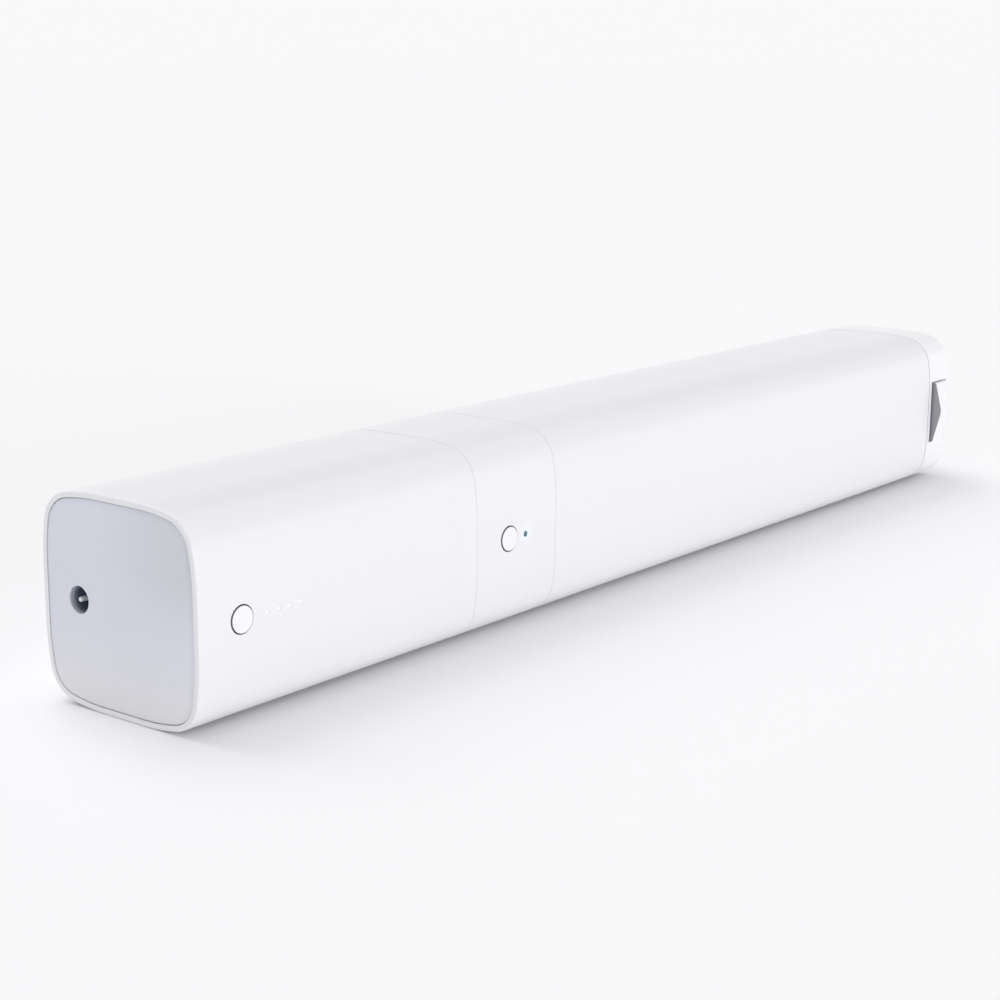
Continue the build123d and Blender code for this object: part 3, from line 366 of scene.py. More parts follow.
def tooled(name, colour, roughness, squeeze=(1.0, 12.0, 12.0), line_depth=2e-6, spread=0.06):
    finish = Finish(name)
    lines = finish.noise(TOOL_LINE, 4.0, finish.stretched(squeeze))
    broad = finish.noise(HANDLING_CLOUD)
    finish.set(
        base_color=finish.shaded(colour, spread, lines),
        metallic=1.0,
        roughness=finish.roughened(roughness, (lines, LINE_CHANGE), (broad, HANDLING_CHANGE)),
        normal=finish.relief(lines, line_depth),
    )
    return finish


nickel = tooled("nickel_plate", from_screen(214, 212, 206), 0.22)
pin_nickel = tooled("bright_pin", from_screen(232, 232, 234), 0.5, squeeze=(14.0, 2.0, 2.0), spread=0.03)
pin_nickel.set(metallic=0.35)
steel = tooled("machined_steel", from_screen(186, 188, 190), 0.32, squeeze=(14.0, 1.0, 1.0))
spring_steel = tooled("spring_steel", from_screen(150, 154, 162), 0.30)
zinc_screws = tooled("zinc_plate", from_screen(196, 197, 200), 0.36, squeeze=(14.0, 2.0, 2.0), spread=0.10)
drawn_can = tooled("drawn_aluminium", from_screen(206, 208, 211), 0.34)
bronze = tooled("sintered_bronze", from_screen(184, 150, 104), 0.48, squeeze=EVEN, line_depth=1e-5)
magnet_grey = tooled("sintered_magnet", from_screen(92, 92, 96), 0.55, squeeze=EVEN, line_depth=8e-6)
print("metals", len(bpy.data.materials))

# %% [markdown]
# ### Boards, windings, cells and rubber
#
# These sit inside and show only when the battery pack is pulled off, but they get their own finish all the
# same: a circuit board has a green mask over raised copper tracks, a winding is a stack of wires, and a cell
# has a printed sleeve that is left plain.


# %% Finishes of the inside
TRACK_SCALE, TRACK_EDGE = 420.0, 0.42
WIRE_SCALE, WIRE_DISTORTION = 620.0, 0.6
SLEEVE_STRETCH = (0.3, 1.0, 1.0)
SOFT_CLOUD, RUBBER_PORE = 0.006, 0.0004


def circuit_board():
    finish = Finish("circuit_board")
    settings = {"distance": "CHEBYCHEV", "feature": "F1"}
    inputs = {"Vector": finish.place, "Scale": TRACK_SCALE}
    raised = finish.node("ShaderNodeTexVoronoi", settings, inputs)["Distance"] > TRACK_EDGE
    finish.set(
        base_color=finish.mix(raised, from_screen(24, 92, 54), from_screen(36, 116, 70)),
        roughness=0.28 + 0.12 * raised,
        normal=finish.relief(raised, 2e-5),
    )
    return finish


def winding():
    finish = Finish("copper_winding")
    settings = {"bands_direction": "Y", "wave_profile": "SIN"}
    inputs = {"Vector": finish.place, "Scale": WIRE_SCALE, "Distortion": WIRE_DISTORTION}
    turns = finish.node("ShaderNodeTexWave", settings, inputs)["Fac"]
    finish.set(
        base_color=finish.mix(turns, from_screen(120, 62, 30), from_screen(206, 122, 70)),
        metallic=0.8,
        roughness=0.28 + 0.2 * (1 - turns),
        normal=finish.relief(turns, 1e-4),
    )
    return finish


def cell_sleeve():
    finish = Finish("cell_sleeve")
    creases = finish.noise(SOFT_CLOUD, 3.0, finish.stretched(SLEEVE_STRETCH))
    finish.set(
        base_color=finish.shaded(from_screen(62, 118, 176), 0.05, creases),
        roughness=finish.roughened(0.22, (creases, 0.2)),
        normal=finish.relief(creases, 4e-5),
    )
    return finish


def rubber(name, colour):
    finish = Finish(name)
    bloom = finish.noise(SOFT_CLOUD, 3.0)
    pores = finish.noise(RUBBER_PORE)
    finish.set(
        base_color=finish.shaded(colour, 0.12, bloom),
        roughness=0.66 + 0.14 * bloom,
        normal=finish.relief(pores, 1.5e-5),
    )
    return finish


green_board = circuit_board()
copper = winding()
cell_blue = cell_sleeve()
black_rubber = rubber("black_rubber", from_screen(44, 44, 46))
lead_jacket = rubber("lead_jacket", from_screen(150, 34, 34))
print("inside finishes", len(bpy.data.materials))

# %% [markdown]
# ### The status light and its glow
#
# The small light on the control band is a teal lens that is brighter at one end, with a faint cyan glow on
# the white plastic round it. The glow is real light on the real thing. Here it is a soft disc of emission in
# the band's own finish, measured from the middle of the lens, which costs no extra lamp.

# %% The lens and the glowing band
LENS_SPREAD, LENS_GLOW = 0.0018, 0.12
GLOW_REACH, BAND_GLOW = 0.0042, 0.22
NO_LIGHT = (0.0, 0.0, 0.0, 1.0)
lens_low, lens_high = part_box("status_light")
LENS_CENTRE = (lens_low + lens_high) / 2
LENS_CENTRE.y = lens_low.y
lens_teal = Finish("status_lens")
lens_x = lens_teal.split(lens_teal.place)["X"]
lens_rise = ((lens_x - (LENS_CENTRE.x - LENS_SPREAD / 2)) / LENS_SPREAD).held(0.0, 1.0)
lens_teal.set(
    base_color=lens_teal.mix(lens_rise, from_screen(52, 84, 84), from_screen(92, 142, 150)),
    emission_color=lens_teal.mix(lens_rise, from_screen(20, 80, 90), from_screen(80, 170, 190)),
    emission_strength=LENS_GLOW,
    roughness=0.16,
)


def near(finish, centre, reach):
    """A soft disc: 1 at the centre and 0 from the reach on."""
    step = finish.tree.nodes.new("ShaderNodeVectorMath")
    step.operation = "DISTANCE"
    feed(finish.tree, step.inputs[0], finish.place)
    feed(finish.tree, step.inputs[1], centre)
    return (1 - Wire(finish.tree, step.outputs["Value"]) / reach).held(0.0, 1.0) ** 2


band_white = moulded("satin_white_plastic_with_glow", WHITE, 0.34)
glow = near(band_white, LENS_CENTRE, GLOW_REACH)
band_white.set(
    emission_color=band_white.mix(glow, NO_LIGHT, from_screen(120, 205, 232)),
    emission_strength=BAND_GLOW,
)
print("status light at", [round(v, 4) for v in LENS_CENTRE])

# %% [markdown]
# ## Giving the CAD pieces their finish
#
# The record names a material slot for each CAD piece. One table from slot to finish dresses all of them, seen
# or hidden.

# %% Dress every CAD node by its slot
SLOT_FINISH = {
    "white_housing": housing_white, "pale_panel": panel_grey, "white_button": button_white,
    "dark_plastic": nylon_black, "light_pipe": light_guide, "status_lens": lens_teal,
    "circuit_board": green_board, "black_component": component_black, "nickel": nickel, "steel": steel,
    "spring_steel": spring_steel, "screw_steel": zinc_screws, "aluminium_can": drawn_can,
    "copper_winding": copper, "magnet": magnet_grey, "cell_wrap": cell_blue,
    "isolator_rubber": black_rubber, "gear_plastic": acetal, "sintered_bronze": bronze,
    "wire_jacket": lead_jacket,
}
node_slot = {entry["node"]: entry["material_slot"] for entry in frame["record"]["subparts"]}
node_body = {n: body for body, members in frame["record"]["behaviour"]["bodies"].items() for n in members}
for name, piece in frame["nodes"].items():
    piece.data.materials.clear()
    piece.data.materials.append(SLOT_FINISH[node_slot[name]].material)
print("dressed", len(frame["nodes"]), "nodes in", len(SLOT_FINISH), "finishes")

# %% [markdown]
# ## Smooth copies of the CAD pieces that show
#
# A CAD mesh is loose triangles, flat shaded, so its long blends would show as facets. For each piece that is
# seen, we merge a copy, join the triangles that lie in one plane, and shade it smooth up to a sharp angle. A
# narrow bevel catches the light on edges the way a moulded edge does. The copy then stands for the CAD piece.


# %% Merge, flatten, bevel and smooth a copy of a CAD piece
MERGE_DISTANCE = 3e-6
FLAT_DEGREES = 0.4
BEVEL_DEGREES, BEVEL_SEGMENTS = 30, 2


def added(name, mesh):
    """A new object in the scene with this mesh."""
    piece = bpy.data.objects.new(name, mesh)
    bpy.context.scene.collection.objects.link(piece)
    return piece


def merged_copy(node, name):
    """An object with the CAD node's shape, its vertices merged and its flat faces whole."""
    mesh = frame["nodes"][node].data.copy()
    mesh.name = name
    shape = bmesh.new()
    shape.from_mesh(mesh)
    bmesh.ops.remove_doubles(shape, verts=shape.verts, dist=MERGE_DISTANCE)
    flat = math.radians(FLAT_DEGREES)
    bmesh.ops.dissolve_limit(shape, angle_limit=flat, verts=shape.verts, edges=shape.edges)
    shape.to_mesh(mesh)
    shape.free()
    return added(name, mesh)


def shade(piece, sharp_degrees):
    """Smooth shading, with a hard edge wherever two faces turn more than the angle."""
    mesh = piece.data
    mesh.polygons.foreach_set("use_smooth", [True] * len(mesh.polygons))
    sharp = math.radians(sharp_degrees)
    shape = bmesh.new()
    shape.from_mesh(mesh)
    for edge in shape.edges:
        edge.smooth = len(edge.link_faces) == 2 and edge.calc_face_angle(0) < sharp
    shape.to_mesh(mesh)
    shape.free()


def bake_modifiers(piece):
    """Turns a piece with its modifiers into one plain mesh."""
    graph = bpy.context.evaluated_depsgraph_get()
    plain = bpy.data.meshes.new_from_object(piece.evaluated_get(graph), depsgraph=graph)
    piece.modifiers.clear()
    piece.data = plain
    return piece


def bevelled(piece, width):
    """Rounds every sharp edge by a small width."""
    bevel = piece.modifiers.new("edge", "BEVEL")
    bevel.width = width
    bevel.segments = BEVEL_SEGMENTS
    bevel.limit_method = "ANGLE"
    bevel.angle_limit = math.radians(BEVEL_DEGREES)
    bevel.use_clamp_overlap = True
    return bake_modifiers(piece)


def dress(piece, node, finish=None):
    """The piece stands for a CAD node: same body, same slot, its own finish."""
    piece.data.materials.clear()
    piece.data.materials.append((finish or SLOT_FINISH[node_slot[node]]).material)
    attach(piece, node_body[node])
    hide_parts(node)


def repaint(piece, finish, belongs):
    """Gives a second finish to the faces for which the test holds."""
    piece.data.materials.append(finish.material)
    for face in piece.data.polygons:
        if belongs(face):
            face.material_index = 1


print("piece helpers are ready")

# %% [markdown]
# ### True normals for the housing
#
# Four pieces share the section: the battery shell, the control band, the main shell and the head cap. Their
# shading has to run on from one to the next without a step. The section is a formula, so the direction that
# its surface faces can be worked out exactly at each point, whatever the mesh. We store those directions as
# custom normals.
#
# Two moulded pieces never close up completely, so each seam is also opened, most of all the one at the head.
# Its small chamfers get the shaded finish. Together they are the thin line that one sees round the bar. The
# head gets a whiter copy of the housing's white, which is painted light for the brighter light on the head
# end.


# %% The exact direction of the section's surface
SKIN_DEGREES = 24
ALONG_BAR = 0.02
SKIN_MATCH, CORNER_MATCH = 0.985, 0.9
SEAM_TOLERANCE = 2e-6
CHAMFER_REACH = 1.5 * SEAM_CHAMFER
LEAST_ASKEW, MOST_ASKEW = 0.3, 0.95


def facing(y, z):
    """The outward direction of the section's surface at a point, in Y and height from the axis."""
    out, along = max(abs(y), abs(z)), min(abs(y), abs(z))
    tilt = 0.0
    if along > HALF_FLAT:
        tilt = math.atan2(along - HALF_FLAT, out - BLEND_DROP)
        if tilt > BLEND_ANGLE:
            tilt = math.atan2(along - CORNER_CENTRE, out - CORNER_CENTRE)
    main, side = math.cos(tilt), math.sin(tilt)
    towards_y, towards_z = (main, side) if abs(y) >= abs(z) else (side, main)
    return Vector((0.0, math.copysign(towards_y, y), math.copysign(towards_z, z)))


def true_normals(piece):
    """Gives the skin of a housing piece its exact normals, and leaves the rest as shaded."""
    mesh = piece.data
    normals = [Vector(n.vector) for n in mesh.corner_normals]
    changed = 0
    for face in mesh.polygons:
        side = facing(face.center.y, face.center.z - AXIS_HEIGHT).dot(face.normal)
        if abs(face.normal.x) > ALONG_BAR or abs(side) < SKIN_MATCH:
            continue
        for corner in face.loop_indices:
            place = mesh.vertices[mesh.loops[corner].vertex_index].co
            exact = facing(place.y, place.z - AXIS_HEIGHT)
            match = exact.dot(face.normal)
            if match * side > 0 and abs(match) > CORNER_MATCH:
                normals[corner] = exact * math.copysign(1.0, side)
                changed += 1
    mesh.normals_split_custom_set(normals)
    return changed


def open_seam(piece, station, shift):
    """Moves the vertices of a seam's face back into the piece, so that the seam is a narrow gap."""
    for vertex in piece.data.vertices:
        if abs(vertex.co.x - station) < SEAM_TOLERANCE:
            vertex.co.x += shift


def shade_chamfers(piece, stations):
    """Gives the chamfers at these seams their shaded finish. They face askew, between along and across."""
    def chamfer(face):
        at_seam = any(abs(face.center.x - station) < CHAMFER_REACH for station in stations)
        return at_seam and LEAST_ASKEW < abs(face.normal.x) < MOST_ASKEW
    repaint(piece, seam_white, chamfer)


SEAM_MOVES = {
    "battery_shell": ((X_PACK_END, -SEAM_GAP / 2),),
    "control_band": ((X_PACK_END, SEAM_GAP / 2), (X_MAIN_START, -SEAM_GAP / 2)),
    "head_cap": ((X_MAIN_END, HEAD_SEAM_GAP / 2),),
}
# The head cap takes the lit copy of the housing's white, which is painted light.
OWN_WHITE = {"control_band": band_white, "head_cap": head_white_painted_light}
for node, moves in SEAM_MOVES.items():
    skin = merged_copy(node, node + "_skin")
    for station, shift in moves:
        open_seam(skin, station, shift)
    shade(skin, SKIN_DEGREES)
    changed = true_normals(skin)
    dress(skin, node, OWN_WHITE.get(node))
    shade_chamfers(skin, [station for station, shift in moves])
    print(node, "faces", len(skin.data.polygons), "exact corners", changed)

# %% [markdown]
# ## The main shell, by rule
#
# The longest piece is the section swept along the bar, with a small chamfer at each end and a wall of one
# thickness. It is a good case for Geometry Nodes: a grid whose columns go round the section and whose rows go
# out along the outside and back along the inside. The formula that places a point is the one above, written
# with node maths. Each size is an input of the tree, so the same tree makes any sleeve of this family.


# %% A geometry tree with named inputs
class Shape(Tree):
    """A geometry node tree with named inputs, that is run on an empty mesh and turned into a plain one."""

    def __init__(self, name, **sizes):
        super().__init__(bpy.data.node_groups.new(name, "GeometryNodeTree"))
        self.tree.interface.new_socket("Geometry", in_out="OUTPUT", socket_type="NodeSocketGeometry")
        self.sizes = sizes
        self.identifiers = {}
        for title, value in sizes.items():
            self.identifiers[title] = self.input(title, "Int" if isinstance(value, int) else "Float")
        self.finish_identifier = self.input("finish", "Material")
        entry = self.tree.nodes.new("NodeGroupInput")
        self.entry = {s.name: Wire(self.tree, s) for s in entry.outputs if s.name}

    def input(self, title, kind):
        """Adds an input to the tree and gives its identifier."""
        kind = "NodeSocket" + kind
        return self.tree.interface.new_socket(title, in_out="INPUT", socket_type=kind).identifier

    def moved(self, geometry, **change):
        """The geometry with a translation, a rotation or a scale."""
        return self.node("GeometryNodeTransform", {}, {"Geometry": geometry, **change})["Geometry"]

    def cylinder(self, sides, radius, depth):
        """A closed cylinder along Z."""
        inputs = {"Vertices": sides, "Radius": radius, "Depth": depth}
        return self.node("GeometryNodeMeshCylinder", {}, inputs)["Mesh"]

    def boolean(self, operation, first, *others):
        """The shape with others joined to it or cut out of it."""
        step = self.tree.nodes.new("GeometryNodeMeshBoolean")
        step.operation = operation
        self.tree.links.new(first.socket, step.inputs["Mesh 1" if operation == "DIFFERENCE" else "Mesh 2"])
        for other in others:
            self.tree.links.new(other.socket, step.inputs["Mesh 2"])
        return Wire(self.tree, step.outputs["Mesh"])

    def joined(self, *parts):
        """Several geometries as one."""
        step = self.tree.nodes.new("GeometryNodeJoinGeometry")
        for part in parts:
            self.tree.links.new(part.socket, step.inputs[0])
        return Wire(self.tree, step.outputs[0])

    def repeated(self, instance, points):
        """The same shape on each of the points."""
        inputs = {"Points": points, "Instance": instance}
        return self.node("GeometryNodeInstanceOnPoints", {}, inputs)["Instances"]

    def end(self, geometry):
        """Realises the instances, sets the finish and closes the tree."""
        real = self.node("GeometryNodeRealizeInstances", {}, {"Geometry": geometry})["Geometry"]
        inputs = {"Geometry": real, "Material": self.entry["finish"]}
        finished = self.node("GeometryNodeSetMaterial", {}, inputs)["Geometry"]
        exit_node = self.tree.nodes.new("NodeGroupOutput")
        feed(self.tree, exit_node.inputs[0], finished)

    def run(self, name, finish, **sizes):
        """An object made by the tree, with its own values for some of the sizes."""
        piece = added(name, bpy.data.meshes.new(name))
        maker = piece.modifiers.new("maker", "NODES")
        maker.node_group = self.tree
        for title, value in {**self.sizes, **sizes}.items():
            maker[self.identifiers[title]] = value
        maker[self.finish_identifier] = finish.material
        bake_modifiers(piece)
        piece.data.name = name
        return piece


print("the shape class is ready")

# %% Place the columns and rows of the sleeve's grid
ROWS = 7
FLAT_SHARE, CORNER_SHARE = 0.125, 0.5
CLOSING_DISTANCE = 1e-6
sleeve = Shape(
    "soft_square_sleeve",
    start=0.0, finish_x=0.25, half_flat=HALF_FLAT, blend_radius=BLEND_RADIUS, corner_radius=CORNER_RADIUS,
    blend_drop=BLEND_DROP, corner_centre=CORNER_CENTRE, blend_angle=BLEND_ANGLE, wall=SHELL_WALL,
    chamfer=SEAM_CHAMFER, axis_height=AXIS_HEIGHT, around=48,
)
size = sleeve.entry
quarter = size["around"]
grid_size = {"Size X": 1.0, "Size Y": 1.0, "Vertices X": quarter * 4 + 1, "Vertices Y": ROWS}
grid = sleeve.node("GeometryNodeMeshGrid", {}, grid_size)["Mesh"]
index = sleeve.node("GeometryNodeInputIndex")["Index"]
column = (index / ROWS).floor()
row = index % ROWS

# Along each quarter, the share runs from -1 to 1: first a corner, then a blend, the flat, a blend and a
# corner.
side_number = (column / quarter).floor() % 4
share = ((column % quarter) / quarter - 0.5) * 2
reach = abs(share)
on_flat = reach < FLAT_SHARE
on_corner = reach > CORNER_SHARE
blend_part = ((reach - FLAT_SHARE) / (CORNER_SHARE - FLAT_SHARE)).held(0.0, 1.0)
corner_part = ((reach - CORNER_SHARE) / (1 - CORNER_SHARE)).held(0.0, 1.0)
tilt = blend_part * size["blend_angle"] + corner_part * (math.pi / 4 - size["blend_angle"])

# The rows: the front chamfer's two edges, the rear chamfer's two edges, the rear and front edge of the
# inside, and the front chamfer's first edge once more, which closes the wall.
inset = (row < 1) * size["chamfer"] + (row > 2) * (row < 4) * size["chamfer"]
inset = inset + (row > 3) * (row < 6) * size["wall"] + (row > 5) * size["chamfer"]
x_place = (row < 1) * size["start"] + (row > 0) * (row < 2) * (size["start"] + size["chamfer"])
x_place = x_place + (row > 1) * (row < 3) * (size["finish_x"] - size["chamfer"])
x_place = x_place + (row > 2) * (row < 5) * size["finish_x"] + (row > 4) * size["start"]
print("sleeve grid with", ROWS, "rows and", 4 * sleeve.sizes["around"] + 1, "columns")

# %% Work out each point of the sleeve and run the tree
blend_out = size["blend_drop"] + (size["blend_radius"] - inset) * tilt.cosine()
blend_along = size["half_flat"] + (size["blend_radius"] - inset) * tilt.sine()
corner_out = size["corner_centre"] + (size["corner_radius"] - inset) * tilt.cosine()
corner_along = size["corner_centre"] + (size["corner_radius"] - inset) * tilt.sine()
flat_along = reach / FLAT_SHARE * size["half_flat"]
out = on_corner * corner_out + (1 - on_corner) * blend_out
along = on_corner * corner_along + (1 - on_corner) * ((1 - on_flat) * blend_along + on_flat * flat_along)
along = along * (1 - 2 * (share < 0.0))

turn = side_number * (math.pi / 2)
y_place = out * turn.cosine() - along * turn.sine()
z_place = out * turn.sine() + along * turn.cosine() + size["axis_height"]
place = sleeve.point(X=x_place, Y=y_place, Z=z_place)
bent = sleeve.node("GeometryNodeSetPosition", {}, {"Geometry": grid, "Position": place})["Geometry"]
closing = {"Geometry": bent, "Distance": CLOSING_DISTANCE}
closed = sleeve.node("GeometryNodeMergeByDistance", {}, closing)["Geometry"]
sleeve.end(closed)

main_skin = sleeve.run(
    "main_shell_skin", housing_white,
    start=X_MAIN_START + SEAM_GAP / 2, finish_x=X_MAIN_END - HEAD_SEAM_GAP / 2)
print("main shell", len(main_skin.data.polygons), "faces, size", [round(v, 4) for v in main_skin.dimensions])

# %% [markdown]
# The grid may come out with its faces inwards, so we turn them outwards once, and then give the piece the
# same exact normals as its neighbours.

# %% Face the sleeve outwards and give it exact normals
shape = bmesh.new()
shape.from_mesh(main_skin.data)
bmesh.ops.recalc_face_normals(shape, faces=shape.faces)
open_edges = sum(edge.is_boundary for edge in shape.edges)
print("sleeve volume in cm3", round(shape.calc_volume() * 1e6, 2), "open edges", open_edges)
shape.to_mesh(main_skin.data)
shape.free()
shade(main_skin, SKIN_DEGREES)
print("exact corners", true_normals(main_skin))
dress(main_skin, "main_shell")
shade_chamfers(main_skin, (X_MAIN_START, X_MAIN_END))

# %% [markdown]
# ## The end panel, the latch and the drive hub
#
# These keep the CAD shape, with narrow bevels on their edges. The panel and the latch have a second finish:
# the wall of the jack's hole gets painted shade, darker than the panel round it, and the face of the latch
# pad that looks back along the bar is grey. The socket in the hole is a dark slate all over, lighter than
# black nylon, which is painted light in its deep bore.

# %% Smooth copies with bevelled edges
EDGE_WIDTHS = {"end_panel": 0.00018, "drive_hub": 0.0002, "charge_jack": 0.00015, "latch_lever": 0.00025}
# The jack gets the lightened slate, painted light in its bore. The latch lever takes the head's lit white,
# which is painted light too.
OWN_FINISH = {"charge_jack": jack_slate, "latch_lever": head_white_painted_light}
EDGE_DEGREES = 35
for node, width in EDGE_WIDTHS.items():
    piece = bevelled(merged_copy(node, node + "_skin"), width)
    shade(piece, EDGE_DEGREES)
    dress(piece, node, OWN_FINISH.get(node))
    print(node, "faces", len(piece.data.polygons))

# %% Second finishes of the panel and the latch
JACK_HOLE_RADIUS = 0.0038
HOLE_TOLERANCE, HOLE_ASKEW = 0.00001, 0.5
JACK_CENTRE = sum(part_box("jack_pin"), Vector()) / 2
LATCH_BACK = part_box("latch_lever")[0].x
LATCH_BACK_DEPTH, LATCH_BACK_FACING = 0.0002, 0.9


def wall_of_jack_hole(face):
    """Faces of the panel inside the hole, which look towards its middle."""
    to_jack = (face.center - JACK_CENTRE).yz.length
    return to_jack < JACK_HOLE_RADIUS + HOLE_TOLERANCE and abs(face.normal.x) < HOLE_ASKEW


def back_of_latch(face):
    """Faces of the latch that look back along the bar, at the end of its pad."""
    return face.normal.x < -LATCH_BACK_FACING and face.center.x < LATCH_BACK + LATCH_BACK_DEPTH


# Painted shade on the wall of the jack's hole.
repaint(bpy.data.objects["end_panel_skin"], hole_painted_shade, wall_of_jack_hole)
repaint(bpy.data.objects["latch_lever_skin"], side_grey, back_of_latch)
print("jack at", [round(v, 4) for v in JACK_CENTRE])

# %% [markdown]
# Under the latch pad sits a small leaf spring. When the pad is pressed, the pad flattens it against its seat.

# %% The leaf spring under the latch
ROUND_DEGREES = 40
leaf = merged_copy("latch_spring", "latch_spring_leaf")
shade(leaf, ROUND_DEGREES)
dress(leaf, "latch_spring")
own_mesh(leaf)
print("leaf faces", len(leaf.data.polygons))

# %% [markdown]
# ## Buttons and pin, turned from a profile
#
# A round moulded piece is a profile turned about its axis. The buttons have a soft crown and a rounded rim,
# and the jack's pin has a domed tip. Each profile is a short list of radius and height, and bmesh spins it.
# The ends lie on the axis, so that the poles close. A button's side and its flange lie in the gap round it,
# so they get painted shade for the gap's shadow, darker than its crown.


# %% Turn a profile into a closed solid
POLE_DISTANCE = 1e-7


def turned(name, profile, centre, axis, steps=64):
    """Spins a profile of (radius, height) pairs about an axis through the centre."""
    shape = bmesh.new()
    middle = Vector(centre)
    towards = Vector(axis).normalized()
    aside = towards.orthogonal().normalized()
    points = [shape.verts.new(middle + aside * radius + towards * height) for radius, height in profile]
    edges = [shape.edges.new(pair) for pair in zip(points, points[1:])]
    bmesh.ops.spin(shape, geom=points + edges, cent=middle, axis=towards, angle=2 * math.pi, steps=steps)
    bmesh.ops.remove_doubles(shape, verts=shape.verts, dist=POLE_DISTANCE)
    bmesh.ops.recalc_face_normals(shape, faces=shape.faces)
    mesh = bpy.data.meshes.new(name)
    shape.to_mesh(mesh)
    shape.free()
    piece = added(name, mesh)
    shade(piece, ROUND_DEGREES)
    return piece


def rounded_rim(radius, height, rounding, steps=6):
    """The outline of a rim: up the side and over a quarter circle onto the top."""
    turns = [math.pi / 2 * n / steps for n in range(steps + 1)]
    return [(radius - rounding * (1 - math.cos(t)), height - rounding * (1 - math.sin(t))) for t in turns]


print("the turning helpers are ready")

# %% The two buttons
BUTTON_RADIUS = 0.00366
BUTTON_EDGE = 0.00016
FLANGE_THICKNESS, FLANGE_TOLERANCE = 0.0006, 1e-6
RIM_DROP, CROWN_DROP, CROWN_SHARE = 0.00006, 0.00002, 0.55
SIDE_ASKEW = 0.3
for node in ("battery_button", "setup_button"):
    low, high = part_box(node)
    centre = ((low.x + high.x) / 2, high.y, (low.z + high.z) / 2)
    flange = (high.x - low.x) / 2
    tall = high.y - low.y
    profile = [(0.0, 0.0), (flange, 0.0), (flange, FLANGE_THICKNESS), (BUTTON_RADIUS, FLANGE_THICKNESS)]
    profile += rounded_rim(BUTTON_RADIUS, tall - RIM_DROP, BUTTON_EDGE)
    profile += [(BUTTON_RADIUS * CROWN_SHARE, tall - CROWN_DROP), (0.0, tall)]
    button = turned(node + "_cap", profile, centre, (0, -1, 0))
    dress(button, node)
    flange_top = high.y - FLANGE_THICKNESS - FLANGE_TOLERANCE
    # The side and the flange get painted shade, for the shadow in the gap.
    repaint(button, gap_painted_shade, lambda face: face.center.y > flange_top or abs(face.normal.y) < SIDE_ASKEW)
    print(node, "height", round(tall, 5), "faces", len(button.data.polygons))

# %% The pin of the jack
PIN_DOME = 0.9
low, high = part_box("jack_pin")
pin_radius = (high.y - low.y) / 2
pin_length = high.x - low.x
pin_centre = (high.x, (low.y + high.y) / 2, (low.z + high.z) / 2)
pin_rim = rounded_rim(pin_radius, pin_length, pin_radius * PIN_DOME)
pin_profile = [(0.0, 0.0), (pin_radius, 0.0)] + pin_rim + [(0.0, pin_length)]
jack_pin = turned("jack_pin_turned", pin_profile, pin_centre, (-1, 0, 0), steps=32)
dress(jack_pin, "jack_pin", pin_nickel)
print("pin length", round(pin_length, 4))

# %% [markdown]
# ## Screws and the row of lights, repeated by nodes
#
# The four screws of the head are one screw at four corners, and so are those of the battery's bulkhead. The
# tree takes a screw's sizes and the spacing, turns a cylinder and a chamfer into a head, cuts the hex recess
# out of it, adds the shank, puts the screw on four points and realises it. The same kind of tree sets the row
# of four small lights on their moulded bar.

# %% A tree for one screw
SCREW_HEAD_RADIUS = 0.0026
SCREW_HEAD_HEIGHT = 0.0022
REPEATED_DEGREES = 30
screws = Shape(
    "four_screws",
    seat=0.0, point=0.01, spacing=0.032, axis_height=AXIS_HEIGHT, shank_radius=0.0015,
    head_radius=SCREW_HEAD_RADIUS, head_height=SCREW_HEAD_HEIGHT, rim=0.0004, recess_radius=0.0013,
    recess_depth=0.0011, sides=40,
)
size = screws.entry


def along_x(geometry, middle):
    """Lays a shape that stands along Z down along X, with its middle at this station."""
    laid = screws.moved(geometry, Rotation=(0.0, math.pi / 2, 0.0))
    return screws.moved(laid, Translation=screws.point(X=middle))


barrel_depth = size["head_height"] - size["rim"]
barrel = screws.cylinder(size["sides"], size["head_radius"], barrel_depth)
rim_size = {
    "Vertices": size["sides"], "Radius Bottom": size["head_radius"],
    "Radius Top": size["head_radius"] - size["rim"], "Depth": size["rim"]}
rim = screws.node("GeometryNodeMeshCone", {}, rim_size)["Mesh"]
head = screws.boolean("UNION", along_x(barrel, barrel_depth / 2), along_x(rim, barrel_depth))
hexagon = screws.cylinder(6, size["recess_radius"], size["recess_depth"] * 2)
head = screws.boolean("DIFFERENCE", head, along_x(hexagon, size["head_height"]))
shank_length = size["seat"] - size["point"]
shank = screws.cylinder(size["sides"], size["shank_radius"], shank_length)
one_screw = screws.joined(head, along_x(shank, shank_length * -0.5))
print("the screw has", len(screws.tree.nodes), "nodes")

# %% Four screws at the corners of a square
square = {"Size X": size["spacing"], "Size Y": size["spacing"], "Vertices X": 2, "Vertices Y": 2}
corners = screws.node("GeometryNodeMeshGrid", {}, square)["Mesh"]
corner = screws.split(screws.node("GeometryNodeInputPosition")["Position"])
stood = screws.point(X=size["seat"], Y=corner["X"], Z=corner["Y"] + size["axis_height"])
corners = screws.node("GeometryNodeSetPosition", {}, {"Geometry": corners, "Position": stood})["Geometry"]
screws.end(screws.repeated(one_screw, corners))

for node in ("head_screws", "bulkhead_screws"):
    low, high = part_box(node)
    spacing = high.y - low.y - 2 * SCREW_HEAD_RADIUS
    piece = screws.run(
        node + "_set", zinc_screws, seat=high.x - SCREW_HEAD_HEIGHT, point=low.x, spacing=spacing)
    shade(piece, REPEATED_DEGREES)
    dress(piece, node)
    print(node, "faces", len(piece.data.polygons), "spacing", round(spacing, 5))

